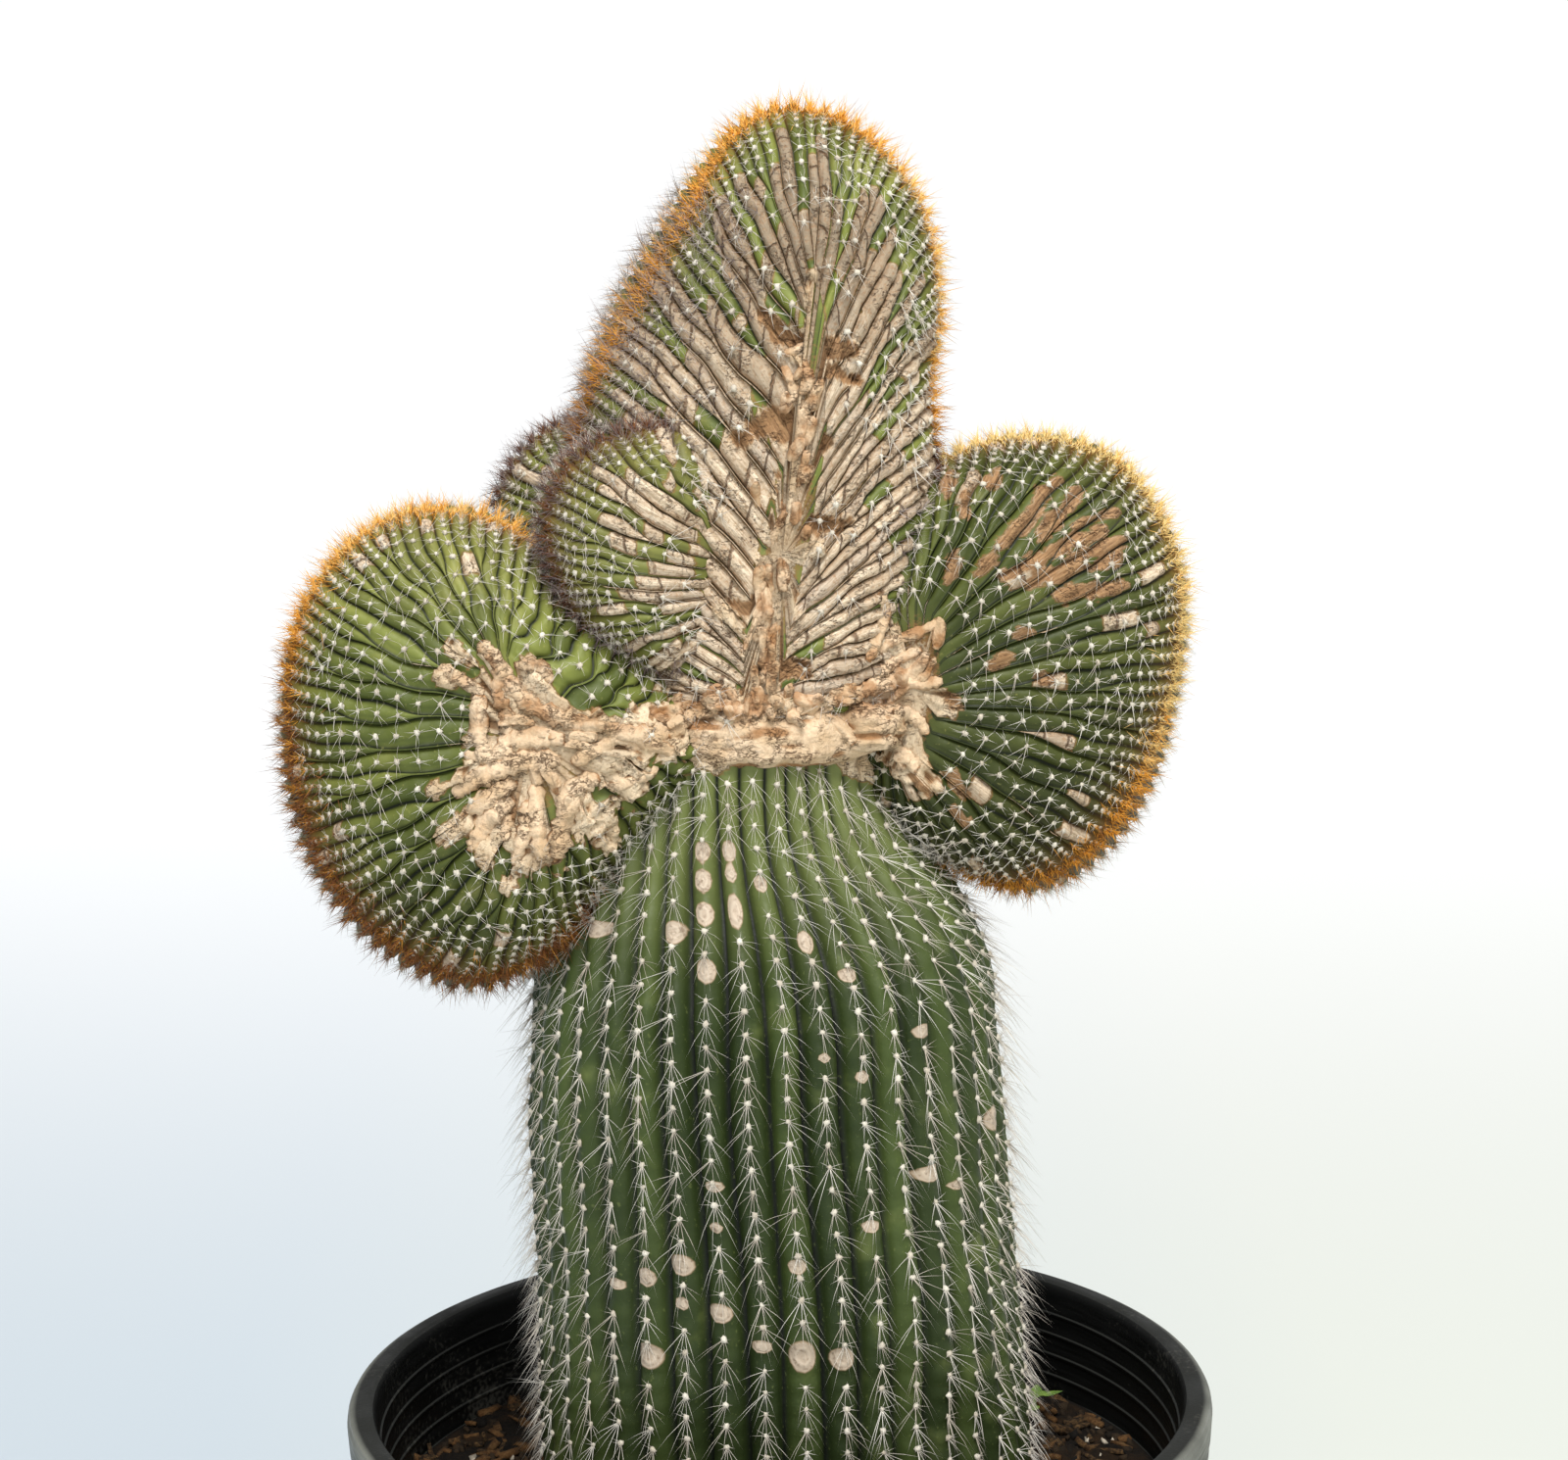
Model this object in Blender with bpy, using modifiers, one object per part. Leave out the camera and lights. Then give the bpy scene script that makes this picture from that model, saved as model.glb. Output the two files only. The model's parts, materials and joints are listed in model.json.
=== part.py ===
"""Crested column cactus in a round nursery pot.

A thick ribbed column stands in potting mix in a black plastic pot. Fan-shaped crests grow from
the corky top of the column: a tall one, one at each side, a small one low in front of the tall
one, and one behind. Metres, +Z up. The origin is the centre of the pot's flat underside.
"""

import math

import bmesh
import bpy
from mathutils import Matrix, Vector

MM = 0.001

# Fits between neighbours
CONTACT_GAP = 0.0003      # between pieces that touch
GROWN_GAP = 0.0004        # between parts of the plant that grow out of each other

# Pot
POT_HEIGHT = 0.268
POT_RIM_RADIUS = 0.1525
POT_BAND_HEIGHT = 0.022   # height of the thick band below the rim
POT_BAND_STEP = 0.007     # how far the band stands out from the wall
POT_BASE_RADIUS = 0.1215
POT_WALL = 0.0032
POT_FLOOR = 0.0035
POT_EDGE = 0.0022         # rounding of the rim and the foot
POT_STEPS = 48
DRAIN_HOLES = 6
DRAIN_HOLE_RADIUS = 0.0065
DRAIN_HOLE_RING = 0.082   # radius of the circle that the holes lie on

# Potting mix
SOIL_DROP = 0.042         # from the rim down to the mix at the wall
SOIL_SLOPE = 0.08         # rise towards the stem for each metre inwards

# Column
STEM_RADIUS = 0.084
STEM_HEIGHT = 0.287       # from the mix at the wall up to the crown, where the crests spring
STEM_BURIED = 0.095       # length below the mix
CROWN_RISE = 0.017        # dome of cork above the crown
RIB_COUNT = 40
RIB_DEPTH = 0.0065
RIB_TURN = math.radians(-93.4)   # a rib faces the front, a little to the left

# Rings of the column from the crown down: share of STEM_HEIGHT, share of STEM_RADIUS,
# lean to the side, and how deep the ribs are (1 is the full depth)
STEM_RINGS = [
    (1.00, 0.58, -0.010, 0.0),
    (0.965, 0.60, -0.011, 0.2),
    (0.91, 0.63, -0.011, 0.7),
    (0.855, 0.71, -0.010, 1.0),
    (0.79, 0.83, -0.007, 1.0),
    (0.73, 0.91, -0.005, 1.0),
    (0.67, 0.965, -0.004, 1.0),
    (0.55, 0.965, -0.003, 1.0),
    (0.29, 1.005, 0.000, 1.0),
    (0.00, 1.035, 0.002, 1.0),
]
# Rings of the buried foot: share of STEM_BURIED, share of STEM_RADIUS
FOOT_RINGS = [(0.30, 0.98), (0.65, 0.80), (0.90, 0.50)]

# Crests. Points are (side, height) in millimetres from the crown, going round the growing edge.
# The seam is the line on the faces that the ribs fan out from. Thickness and depth (the offset
# to the back) are given at the crest's lowest and highest point.
CREST_MERIDIANS = 30
CREST_RINGS = 14
CRESTS = {
    "centre_crest": {
        "edge": [(8, 203), (31, 196), (50, 175), (58, 146), (56, 112), (57, 86), (51, 45),
                 (40, 4), (-2, -16), (-46, 14), (-64, 76), (-61, 110), (-46, 146), (-27, 174),
                 (-11, 195)],
        "seam": [(14, 135), (8, 60), (-4, 20)],
        "thickness": (0.104, 0.072),
        "depth": (0.000, 0.004),
    },
    "small_crest": {
        "edge": [(-22, 98), (-44, 101), (-64, 93), (-74, 76), (-71, 54), (-58, 36), (-36, 22),
                 (-8, 22), (6, 42), (0, 76)],
        "seam": [(-14, 66), (-16, 44)],
        "thickness": (0.060, 0.060),
        "depth": (-0.034, -0.030),
    },
    "left_crest": {
        "edge": [(-68, 50), (-88, 67), (-114, 73), (-140, 62), (-158, 36), (-163, 0),
                 (-156, -42), (-136, -73), (-104, -89), (-73, -74), (-46, -40), (-18, -8),
                 (-38, 28)],
        "seam": [(-84, 24), (-78, -24)],
        "thickness": (0.092, 0.084),
        "depth": (-0.022, -0.014),
    },
    "right_crest": {
        "edge": [(34, 50), (56, 81), (88, 92), (122, 79), (142, 42), (138, -6), (122, -46),
                 (94, -67), (62, -58), (34, -32), (16, 6)],
        "seam": [(54, 20), (58, -4)],
        "thickness": (0.088, 0.080),
        "depth": (0.014, 0.008),
    },
    "rear_crest": {
        "edge": [(-46, 92), (-66, 96), (-84, 85), (-92, 66), (-84, 40), (-60, 22), (-30, 30),
                 (-24, 66)],
        "seam": [(-52, 66), (-50, 48)],
        "thickness": (0.062, 0.058),
        "depth": (0.030, 0.026),
    },
}
# Each crest is trimmed where it meets the column and the crests named before it
FACE_FULLNESS = 0.80      # lower is flatter on the faces and rounder at the edge
EDGE_FULLNESS = 0.90

# Bark chips on the mix: angle round the pot, share of the way from the stem to the wall,
# length, width, height, turn
CHIPS = {
    "bark_chip_1": (48, 0.48, 0.017, 0.010, 0.006, 20),
    "bark_chip_2": (57, 0.66, 0.013, 0.009, 0.005, 75),
    "bark_chip_3": (64, 0.38, 0.014, 0.011, 0.006, 130),
    "bark_chip_4": (-44, 0.60, 0.015, 0.010, 0.005, 10),
    "bark_chip_5": (-56, 0.42, 0.012, 0.009, 0.006, 95),
    "bark_chip_6": (132, 0.55, 0.016, 0.011, 0.006, 50),
    "bark_chip_7": (-137, 0.50, 0.015, 0.009, 0.005, 160),
}
CHIP_ROUNDING = 0.0012

# Weed seedling beside the stem
WEED_ANGLE = 33
WEED_SHARE = 0.50         # of the way from the stem to the wall
WEED_HEIGHT = 0.012
WEED_STEM_RADIUS = 0.0007
WEED_FOOT_RADIUS = 0.0010
LEAF_THICKNESS = 0.0008
# Leaves: share of the stalk's height, direction in degrees, length, width, upward tilt in degrees
LEAVES = {
    "weed_leaf_1": (0.95, 200, 0.011, 0.0065, 24),
    "weed_leaf_2": (0.85, 320, 0.012, 0.0070, 16),
    "weed_leaf_3": (0.62, 80, 0.009, 0.0060, 12),
    "weed_leaf_4": (0.50, 260, 0.008, 0.0055, 6),
}

# Worked out from the sizes above
SOIL_Z = POT_HEIGHT - SOIL_DROP
CROWN_Z = SOIL_Z + STEM_HEIGHT
WALL_TOP_RADIUS = POT_RIM_RADIUS - POT_BAND_STEP
WALL_TAPER = (WALL_TOP_RADIUS - POT_BASE_RADIUS) / POT_HEIGHT


# ---------------------------------------------------------------- helpers

def clear_scene():
    """Remove every object, so that the script can be run again in an open file."""
    for old in list(bpy.data.objects):
        bpy.data.objects.remove(old, do_unlink=True)


def make_collection(name):
    """A new collection linked to the scene."""
    made = bpy.data.collections.new(name)
    bpy.context.scene.collection.children.link(made)
    return made


def make_material(name, colour, roughness):
    """A plain non-metallic Principled material."""
    made = bpy.data.materials.new(name)
    made.use_nodes = True
    shader = made.node_tree.nodes["Principled BSDF"]
    shader.inputs["Base Color"].default_value = (*colour, 1.0)
    shader.inputs["Roughness"].default_value = roughness
    shader.inputs["Metallic"].default_value = 0.0
    made.diffuse_color = (*colour, 1.0)
    return made


def object_from_bmesh(shape, name, collection, material=None):
    """Turn a bmesh into an object, with its faces pointing out and smooth shading. It is made of
    triangles, so that a grown copy of it has the same creases and keeps an even gap."""
    bmesh.ops.triangulate(shape, faces=shape.faces)
    bmesh.ops.recalc_face_normals(shape, faces=shape.faces)
    mesh = bpy.data.meshes.new(name)
    shape.to_mesh(mesh)
    shape.free()
    mesh.shade_smooth()
    mesh.set_sharp_from_angle(angle=math.radians(40))
    made = bpy.data.objects.new(name, mesh)
    collection.objects.link(made)
    if material:
        mesh.materials.append(material)
    return made


def hide_cutter(cutter):
    """Show a cutter as wires only, and keep it out of renders."""
    cutter.hide_render = True
    cutter.display_type = "WIRE"


def grown_copy(piece, gap, cutters):
    """A copy of a piece's own mesh, pushed out along its normals by the gap, used as a cutter."""
    shape = bmesh.new()
    shape.from_mesh(piece.data)
    shape.normal_update()
    pushed = [vert.co + vert.normal * gap for vert in shape.verts]
    for vert, place in zip(shape.verts, pushed):
        vert.co = place
    cutter = object_from_bmesh(shape, piece.name + "_grown", cutters)
    hide_cutter(cutter)
    return cutter


def cut(piece, cutter):
    """Subtract a cutter from a piece."""
    boolean = piece.modifiers.new("cut_by_" + cutter.name, "BOOLEAN")
    boolean.operation = "DIFFERENCE"
    boolean.solver = "EXACT"
    boolean.object = cutter


def turned_solid(name, profile, steps, collection, material):
    """Turn a profile of (radius, height) points about the Z axis."""
    shape = bmesh.new()
    verts = [shape.verts.new((radius, 0.0, height)) for radius, height in profile]
    for first, second in zip(verts, verts[1:]):
        shape.edges.new((first, second))
    made = object_from_bmesh(shape, name, collection, material)
    screw = made.modifiers.new("turn", "SCREW")
    screw.axis = "Z"
    screw.angle = math.tau
    screw.steps = steps
    screw.render_steps = steps
    screw.use_merge_vertices = True
    screw.merge_threshold = 0.00005
    screw.use_smooth_shade = True
    return made


def smooth_between(before, start, end, after, share):
    """Catmull-Rom curve through four neighbouring points, from start to end."""
    square, cube = share * share, share ** 3
    return 0.5 * (2 * start + (end - before) * share
                  + (2 * before - 5 * start + 4 * end - after) * square
                  + (3 * start - before - 3 * end + after) * cube)


def point_on_loop(points, share):
    """A point on the smooth closed curve through the points; share runs from 0 to 1."""
    count = len(points)
    place = (share % 1.0) * count
    first = int(place) % count
    return smooth_between(points[first - 1], points[first], points[(first + 1) % count],
                          points[(first + 2) % count], place - int(place))


def nearest_on_line(line, target):
    """The nearest point to the target on an open line of straight stretches."""
    best = None
    for start, end in zip(line, line[1:]):
        along = end - start
        share = max(0.0, min(1.0, (target - start).dot(along) / along.length_squared))
        place = start + along * share
        if best is None or (place - target).length < (best - target).length:
            best = place
    return best


# ---------------------------------------------------------------- pot

def inner_wall_radius(height):
    """Radius of the pot's inner wall at a height."""
    return WALL_TOP_RADIUS - POT_WALL - WALL_TAPER * (POT_HEIGHT - height)


def make_pot(collection, cutters, material):
    """Tapered pot with a thick rim band and drain holes through its floor."""
    band_foot = POT_HEIGHT - POT_BAND_HEIGHT
    wall_at_band = WALL_TOP_RADIUS - WALL_TAPER * POT_BAND_HEIGHT
    profile = [
        (0.0, POT_FLOOR),
        (inner_wall_radius(POT_FLOOR), POT_FLOOR),
        (inner_wall_radius(POT_HEIGHT - POT_EDGE), POT_HEIGHT - POT_EDGE),
        (inner_wall_radius(POT_HEIGHT) + POT_EDGE, POT_HEIGHT),
        (POT_RIM_RADIUS - POT_EDGE, POT_HEIGHT),
        (POT_RIM_RADIUS, POT_HEIGHT - POT_EDGE),
        (POT_RIM_RADIUS - 0.4 * POT_EDGE, band_foot),
        (POT_RIM_RADIUS - 1.4 * POT_EDGE, band_foot - POT_EDGE),
        (wall_at_band, band_foot - POT_EDGE),
        (POT_BASE_RADIUS, POT_EDGE),
        (POT_BASE_RADIUS - POT_EDGE, 0.0),
        (0.0, 0.0),
    ]
    pot = turned_solid("pot", profile, POT_STEPS, collection, material)
    drills = bmesh.new()
    for index in range(DRAIN_HOLES):
        angle = math.tau * (index + 0.5) / DRAIN_HOLES
        place = (DRAIN_HOLE_RING * math.cos(angle), DRAIN_HOLE_RING * math.sin(angle),
                 POT_FLOOR / 2)
        bmesh.ops.create_cone(drills, cap_ends=True, segments=16, radius1=DRAIN_HOLE_RADIUS,
                              radius2=DRAIN_HOLE_RADIUS, depth=3 * POT_FLOOR,
                              matrix=Matrix.Translation(place))
    cutter = object_from_bmesh(drills, "drain_hole_drills", cutters)
    hide_cutter(cutter)
    cut(pot, cutter)
    return pot


# ---------------------------------------------------------------- potting mix and what lies on it

def soil_height(radius):
    """Height of the mix at a distance from the pot's axis."""
    return SOIL_Z + SOIL_SLOPE * (inner_wall_radius(SOIL_Z) - radius)


def make_potting_mix(collection, material):
    """The mix fills the pot up to a low cone that rises towards the stem."""
    floor = POT_FLOOR + CONTACT_GAP
    wall = inner_wall_radius(SOIL_Z) - CONTACT_GAP
    foot = inner_wall_radius(floor) - CONTACT_GAP
    profile = [(0.0, soil_height(0.0)), (wall, soil_height(wall)), (foot, floor), (0.0, floor)]
    return turned_solid("potting_mix", profile, POT_STEPS, collection, material)


def on_the_mix(angle, share, lift):
    """Matrix that puts a piece on the mix, a share of the way from the stem to the wall: its Z
    runs along the surface's normal, and it is lifted clear."""
    stem = STEM_RINGS[-1][1] * STEM_RADIUS
    radius = stem + share * (inner_wall_radius(SOIL_Z) - stem)
    turn = Matrix.Rotation(math.radians(angle), 4, "Z")
    normal = Vector((SOIL_SLOPE, 0.0, 1.0)).normalized()
    tilt = Vector((0.0, 0.0, 1.0)).rotation_difference(normal).to_matrix().to_4x4()
    place = Vector((radius, 0.0, soil_height(radius))) + normal * lift
    return turn @ Matrix.Translation(place) @ tilt


def make_chips(collection, material):
    """Bark chips: blocks with every edge rounded, lying flat on the mix."""
    for name, (angle, share, length, width, height, turn) in CHIPS.items():
        shape = bmesh.new()
        bmesh.ops.create_cube(shape, size=1.0)
        bmesh.ops.scale(shape, vec=(length, width, height), verts=shape.verts)
        upper = [vert for vert in shape.verts if vert.co.z > 0]
        bmesh.ops.scale(shape, vec=(0.72, 0.78, 1.0), verts=upper)
        chip = object_from_bmesh(shape, name, collection, material)
        bevel = chip.modifiers.new("rounding", "BEVEL")
        bevel.width = CHIP_ROUNDING
        bevel.segments = 1
        spin = Matrix.Rotation(math.radians(turn), 4, "Z")
        chip.matrix_world = on_the_mix(angle, share, height / 2 + CONTACT_GAP) @ spin


def make_weed(collection, material):
    """A seedling: an upright stalk, and leaves that reach out from it on all sides."""
    uphill = SOIL_SLOPE * WEED_FOOT_RADIUS
    foot = on_the_mix(WEED_ANGLE, WEED_SHARE, CONTACT_GAP + uphill).translation
    shape = bmesh.new()
    bmesh.ops.create_cone(shape, cap_ends=True, segments=8, radius1=WEED_FOOT_RADIUS,
                          radius2=WEED_STEM_RADIUS, depth=WEED_HEIGHT)
    stalk = object_from_bmesh(shape, "weed_stalk", collection, material)
    stalk.location = foot + Vector((0.0, 0.0, WEED_HEIGHT / 2))
    for name, (share, direction, length, width, tilt) in LEAVES.items():
        shape = bmesh.new()
        bmesh.ops.create_uvsphere(shape, u_segments=12, v_segments=6, radius=0.5)
        for vert in shape.verts:
            along = vert.co.x + 0.5
            pointed = 1.0 - 0.55 * along * along
            vert.co = (along * length, vert.co.y * width * pointed, vert.co.z * LEAF_THICKNESS)
        leaf = object_from_bmesh(shape, name, collection, material)
        joint = foot + Vector((0.0, 0.0, share * WEED_HEIGHT))
        start = WEED_FOOT_RADIUS + CONTACT_GAP
        leaf.matrix_world = (Matrix.Translation(joint)
                             @ Matrix.Rotation(math.radians(direction), 4, "Z")
                             @ Matrix.Translation((start, 0.0, 0.0))
                             @ Matrix.Rotation(math.radians(-tilt), 4, "Y"))


# ---------------------------------------------------------------- plant

def stem_rings():
    """All rings of the column from the top: height, radius, lean and rib depth."""
    rings = []
    for share, radius, lean, depth in STEM_RINGS:
        rings.append((SOIL_Z + share * STEM_HEIGHT, radius * STEM_RADIUS, lean,
                      depth * RIB_DEPTH))
    foot_lean = STEM_RINGS[-1][2]
    for share, radius in FOOT_RINGS:
        rings.append((SOIL_Z - share * STEM_BURIED, radius * STEM_RADIUS, foot_lean, 0.0))
    return rings


def make_column(collection, material):
    """The ribbed column: a sphere with two meridians to each rib, drawn out to the rings."""
    rings = stem_rings()
    shape = bmesh.new()
    bmesh.ops.create_uvsphere(shape, u_segments=2 * RIB_COUNT, v_segments=len(rings) + 1,
                              radius=1.0)
    for vert in shape.verts:
        ring = round(math.acos(max(-1.0, min(1.0, vert.co.z))) / math.pi * (len(rings) + 1))
        if ring == 0:
            vert.co = (rings[0][2], 0.0, CROWN_Z + CROWN_RISE)
        elif ring == len(rings) + 1:
            vert.co = (rings[-1][2], 0.0, SOIL_Z - STEM_BURIED)
        else:
            height, radius, lean, depth = rings[ring - 1]
            angle = math.atan2(vert.co.y, vert.co.x)
            meridian = round(angle / math.tau * 2 * RIB_COUNT)
            reach = radius - (depth if meridian % 2 else 0.0)
            vert.co = (lean + reach * math.cos(angle + RIB_TURN),
                       reach * math.sin(angle + RIB_TURN), height)
    return object_from_bmesh(shape, "column", collection, material)


def make_crest(name, design, collection, material):
    """A fan-shaped crest: a sphere whose poles are drawn out along the seam on both faces and
    whose equator is the growing edge, so its meridians run the way the ribs do."""
    edge = [Vector(point) * MM for point in design["edge"]]
    seam = [Vector(point) * MM for point in design["seam"]]
    middle = (seam[0] + seam[-1]) / 2
    lowest = min(point.y for point in edge)
    highest = max(point.y for point in edge)
    shape = bmesh.new()
    bmesh.ops.create_uvsphere(shape, u_segments=CREST_MERIDIANS, v_segments=CREST_RINGS,
                              radius=1.0)
    for vert in shape.verts:
        reach = math.hypot(vert.co.x, vert.co.y)
        facing = vert.co.z
        if reach < 1e-6:
            place = middle
        else:
            turn = math.atan2(vert.co.y, vert.co.x) / math.tau
            rim = point_on_loop(edge, turn)
            root = nearest_on_line(seam, rim)
            place = root.lerp(rim, reach ** EDGE_FULLNESS)
        rise = max(0.0, min(1.0, (place.y - lowest) / (highest - lowest)))
        thickness = design["thickness"][0] * (1 - rise) + design["thickness"][1] * rise
        depth = design["depth"][0] * (1 - rise) + design["depth"][1] * rise
        bulge = math.copysign(abs(facing) ** FACE_FULLNESS, facing) * thickness / 2
        vert.co = (place.x, depth - bulge, CROWN_Z + place.y)
    return object_from_bmesh(shape, name, collection, material)


def make_plant(collection, cutters, stem_green, crest_green):
    """The column and its crests, each trimmed where it meets those already made."""
    column = make_column(collection, stem_green)
    grown = [grown_copy(column, GROWN_GAP, cutters)]
    for name, design in CRESTS.items():
        crest = make_crest(name, design, collection, crest_green)
        own_cutter = grown_copy(crest, GROWN_GAP, cutters)
        for cutter in grown:
            cut(crest, cutter)
        grown.append(own_cutter)
    return grown[0]


def main():
    clear_scene()
    cactus = make_collection("potted_crested_cactus")
    cutters = make_collection("cutters")
    plastic = make_material("black_plastic", (0.022, 0.022, 0.024), 0.55)
    mix = make_material("potting_mix", (0.045, 0.028, 0.018), 0.95)
    bark = make_material("bark", (0.28, 0.13, 0.05), 0.90)
    stem_green = make_material("stem_green", (0.075, 0.16, 0.07), 0.60)
    crest_green = make_material("crest_green", (0.17, 0.24, 0.10), 0.65)
    leaf_green = make_material("leaf_green", (0.16, 0.32, 0.07), 0.55)
    make_pot(cactus, cutters, plastic)
    potting_mix = make_potting_mix(cactus, mix)
    column_cutter = make_plant(cactus, cutters, stem_green, crest_green)
    cut(potting_mix, column_cutter)
    make_chips(cactus, bark)
    make_weed(cactus, leaf_green)


main()
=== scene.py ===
# %% [markdown]
# # A crested column cactus in a nursery pot
# It holds the right sizes and places, but its shapes are plain. This lesson gives each piece its
# real surface: ribs, cork, spines, wool, scuffed plastic and loose mix. Every place is measured
# from the frame, so that nothing needs fitting afterwards.

# %% Load the frame and measure it
import json
import math

import bpy
import numpy as np
from mathutils import Matrix, Vector, noise
from mathutils.bvhtree import BVHTree

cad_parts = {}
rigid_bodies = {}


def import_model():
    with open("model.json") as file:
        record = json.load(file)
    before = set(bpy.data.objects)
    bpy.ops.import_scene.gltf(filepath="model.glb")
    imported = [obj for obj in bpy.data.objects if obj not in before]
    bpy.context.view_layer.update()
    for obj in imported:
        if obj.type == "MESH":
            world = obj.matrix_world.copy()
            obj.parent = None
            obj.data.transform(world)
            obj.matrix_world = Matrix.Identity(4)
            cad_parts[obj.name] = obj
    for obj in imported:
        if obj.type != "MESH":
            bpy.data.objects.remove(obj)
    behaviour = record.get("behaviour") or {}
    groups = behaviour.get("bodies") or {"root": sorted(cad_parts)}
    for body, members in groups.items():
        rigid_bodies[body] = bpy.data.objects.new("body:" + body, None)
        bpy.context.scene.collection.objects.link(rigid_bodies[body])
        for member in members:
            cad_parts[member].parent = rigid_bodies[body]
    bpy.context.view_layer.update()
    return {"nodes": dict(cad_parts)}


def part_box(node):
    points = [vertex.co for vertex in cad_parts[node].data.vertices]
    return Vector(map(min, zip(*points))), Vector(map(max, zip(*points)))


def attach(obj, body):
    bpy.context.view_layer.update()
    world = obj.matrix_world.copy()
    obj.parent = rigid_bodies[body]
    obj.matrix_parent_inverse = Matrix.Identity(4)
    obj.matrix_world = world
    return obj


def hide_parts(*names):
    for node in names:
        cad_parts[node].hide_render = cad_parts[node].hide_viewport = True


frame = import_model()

MM = 0.001
TURN = 2 * math.pi

RIM_RADIUS, _, RIM_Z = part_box("pot")[1]
MIX_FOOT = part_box("potting_mix")[0].z
CROWN_RISE = 0.017               # the column's dome of cork above the crown
CROWN_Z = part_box("column")[1].z - CROWN_RISE
print("rim", round(RIM_Z, 4), "radius", round(RIM_RADIUS, 4), "crown", round(CROWN_Z, 4))


# %% [markdown]
# ## Small helpers for materials
# A material here is a short chain of nodes. `node` adds one and fills its sockets, either with a
# plain value or by linking another node's output. Effects that several materials share are node
# groups, which put out only masks and heights, while the shader stays in the material.

# %% Node helpers
def node(tree, kind, inputs=None, output=0, **settings):
    """Add a node, set it up and give back one of its outputs."""
    made = tree.nodes.new(kind)
    for key, value in settings.items():
        setattr(made, key, value)
    for key, value in (inputs or {}).items():
        socket = made.inputs[key]
        if isinstance(value, bpy.types.NodeSocket):
            tree.links.new(value, socket)
        else:
            socket.default_value = value
    return made.outputs[output]


def maths(tree, operation, first, second=0.0):
    return node(tree, "ShaderNodeMath", {0: first, 1: second}, operation=operation)


def plus(tree, first, second):
    return maths(tree, "ADD", first, second)


def minus(tree, first, second):
    return maths(tree, "SUBTRACT", first, second)


def times(tree, first, second):
    return maths(tree, "MULTIPLY", first, second)


def levels(tree, value, low, high, to_low=0.0, to_high=1.0):
    """Stretch a range of values smoothly to another."""
    return node(tree, "ShaderNodeMapRange", {0: value, 1: low, 2: high, 3: to_low, 4: to_high},
                interpolation_type="SMOOTHSTEP")


def mix(tree, share, first, second, blend_type="MIX"):
    """Blend two colours."""
    return node(tree, "ShaderNodeMix", {0: share, 6: first, 7: second}, output=2,
                data_type="RGBA", blend_type=blend_type)


def colour(red, green, blue):
    return (red, green, blue, 1.0)


def stored(tree, name):
    """A number stored at the vertices."""
    return node(tree, "ShaderNodeAttribute", output="Fac", attribute_name=name)


def here(tree):
    """Object coordinates, in metres."""
    return node(tree, "ShaderNodeTexCoord", output="Object")


def place_on(tree, axis):
    """One of the object coordinates."""
    return node(tree, "ShaderNodeSeparateXYZ", {0: here(tree)}, output=axis)


def clouds(tree, size, detail=3.0, vector=None, rough=0.5):
    """Soft noise whose blobs are about `size` metres across."""
    return node(tree, "ShaderNodeTexNoise",
                {"Vector": vector or here(tree), "Scale": 1.0 / size, "Detail": detail,
                 "Roughness": rough})


def new_group(name, inputs, outputs):
    """An empty shader node group with named float sockets."""
    group = bpy.data.node_groups.new(name, "ShaderNodeTree")
    for label, value in inputs.items():
        socket = group.interface.new_socket(label, in_out="INPUT", socket_type="NodeSocketFloat")
        socket.default_value = value
    for label in outputs:
        group.interface.new_socket(label, in_out="OUTPUT", socket_type="NodeSocketFloat")
    return group, group.nodes.new("NodeGroupInput"), group.nodes.new("NodeGroupOutput")


def use_group(tree, group, output, **values):
    """Place a group in a material."""
    made = tree.nodes.new("ShaderNodeGroup")
    made.node_tree = group
    for key, value in values.items():
        if isinstance(value, bpy.types.NodeSocket):
            tree.links.new(value, made.inputs[key])
        else:
            made.inputs[key].default_value = value
    return made.outputs[output]


def new_material(name, roughness=0.6, specular=0.5):
    """A material with its shader; the varying sockets are linked afterwards."""
    made = bpy.data.materials.new(name)
    made.use_nodes = True
    shader = made.node_tree.nodes["Principled BSDF"]
    shader.inputs["Roughness"].default_value = roughness
    shader.inputs["Specular IOR Level"].default_value = specular
    return made, made.node_tree, shader


def plug(tree, shader, **sockets):
    """Link outputs to the shader's sockets; an underscore stands for a space."""
    for name, output in sockets.items():
        tree.links.new(output, shader.inputs[name.replace("_", " ")])


def bump(tree, height, distance, strength=1.0):
    return node(tree, "ShaderNodeBump",
                {"Height": height, "Distance": distance, "Strength": strength})


# %% [markdown]
# ## Camera, floor and light
# The view is a little above the pot's rim and looks slightly down, through a long lens, so the
# ribs stay parallel. The plant stands in bright, even daylight: a white world does most of the
# work, and two large area lights give the ribs a light side and a dark side. The floor is one
# plane.

# %% Camera
CAMERA_DISTANCE = 1.25
CAMERA_ABOVE_RIM = 0.504
CAMERA_PITCH = math.radians(12.03)
CAMERA_ROLL = math.radians(-0.87)
CAMERA_LENS = 86.0

camera_data = bpy.data.cameras.new("camera")
camera_data.lens = CAMERA_LENS
camera_data.sensor_width = 36
camera = bpy.data.objects.new("camera", camera_data)
bpy.context.scene.collection.objects.link(camera)
camera.location = (0.0051, -CAMERA_DISTANCE, RIM_Z + CAMERA_ABOVE_RIM)
tilt = Matrix.Rotation(math.pi / 2 - CAMERA_PITCH, 4, "X")
roll = Matrix.Rotation(CAMERA_ROLL, 4, "Z")
camera.rotation_euler = (tilt @ roll).to_euler()
bpy.context.scene.camera = camera

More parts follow.
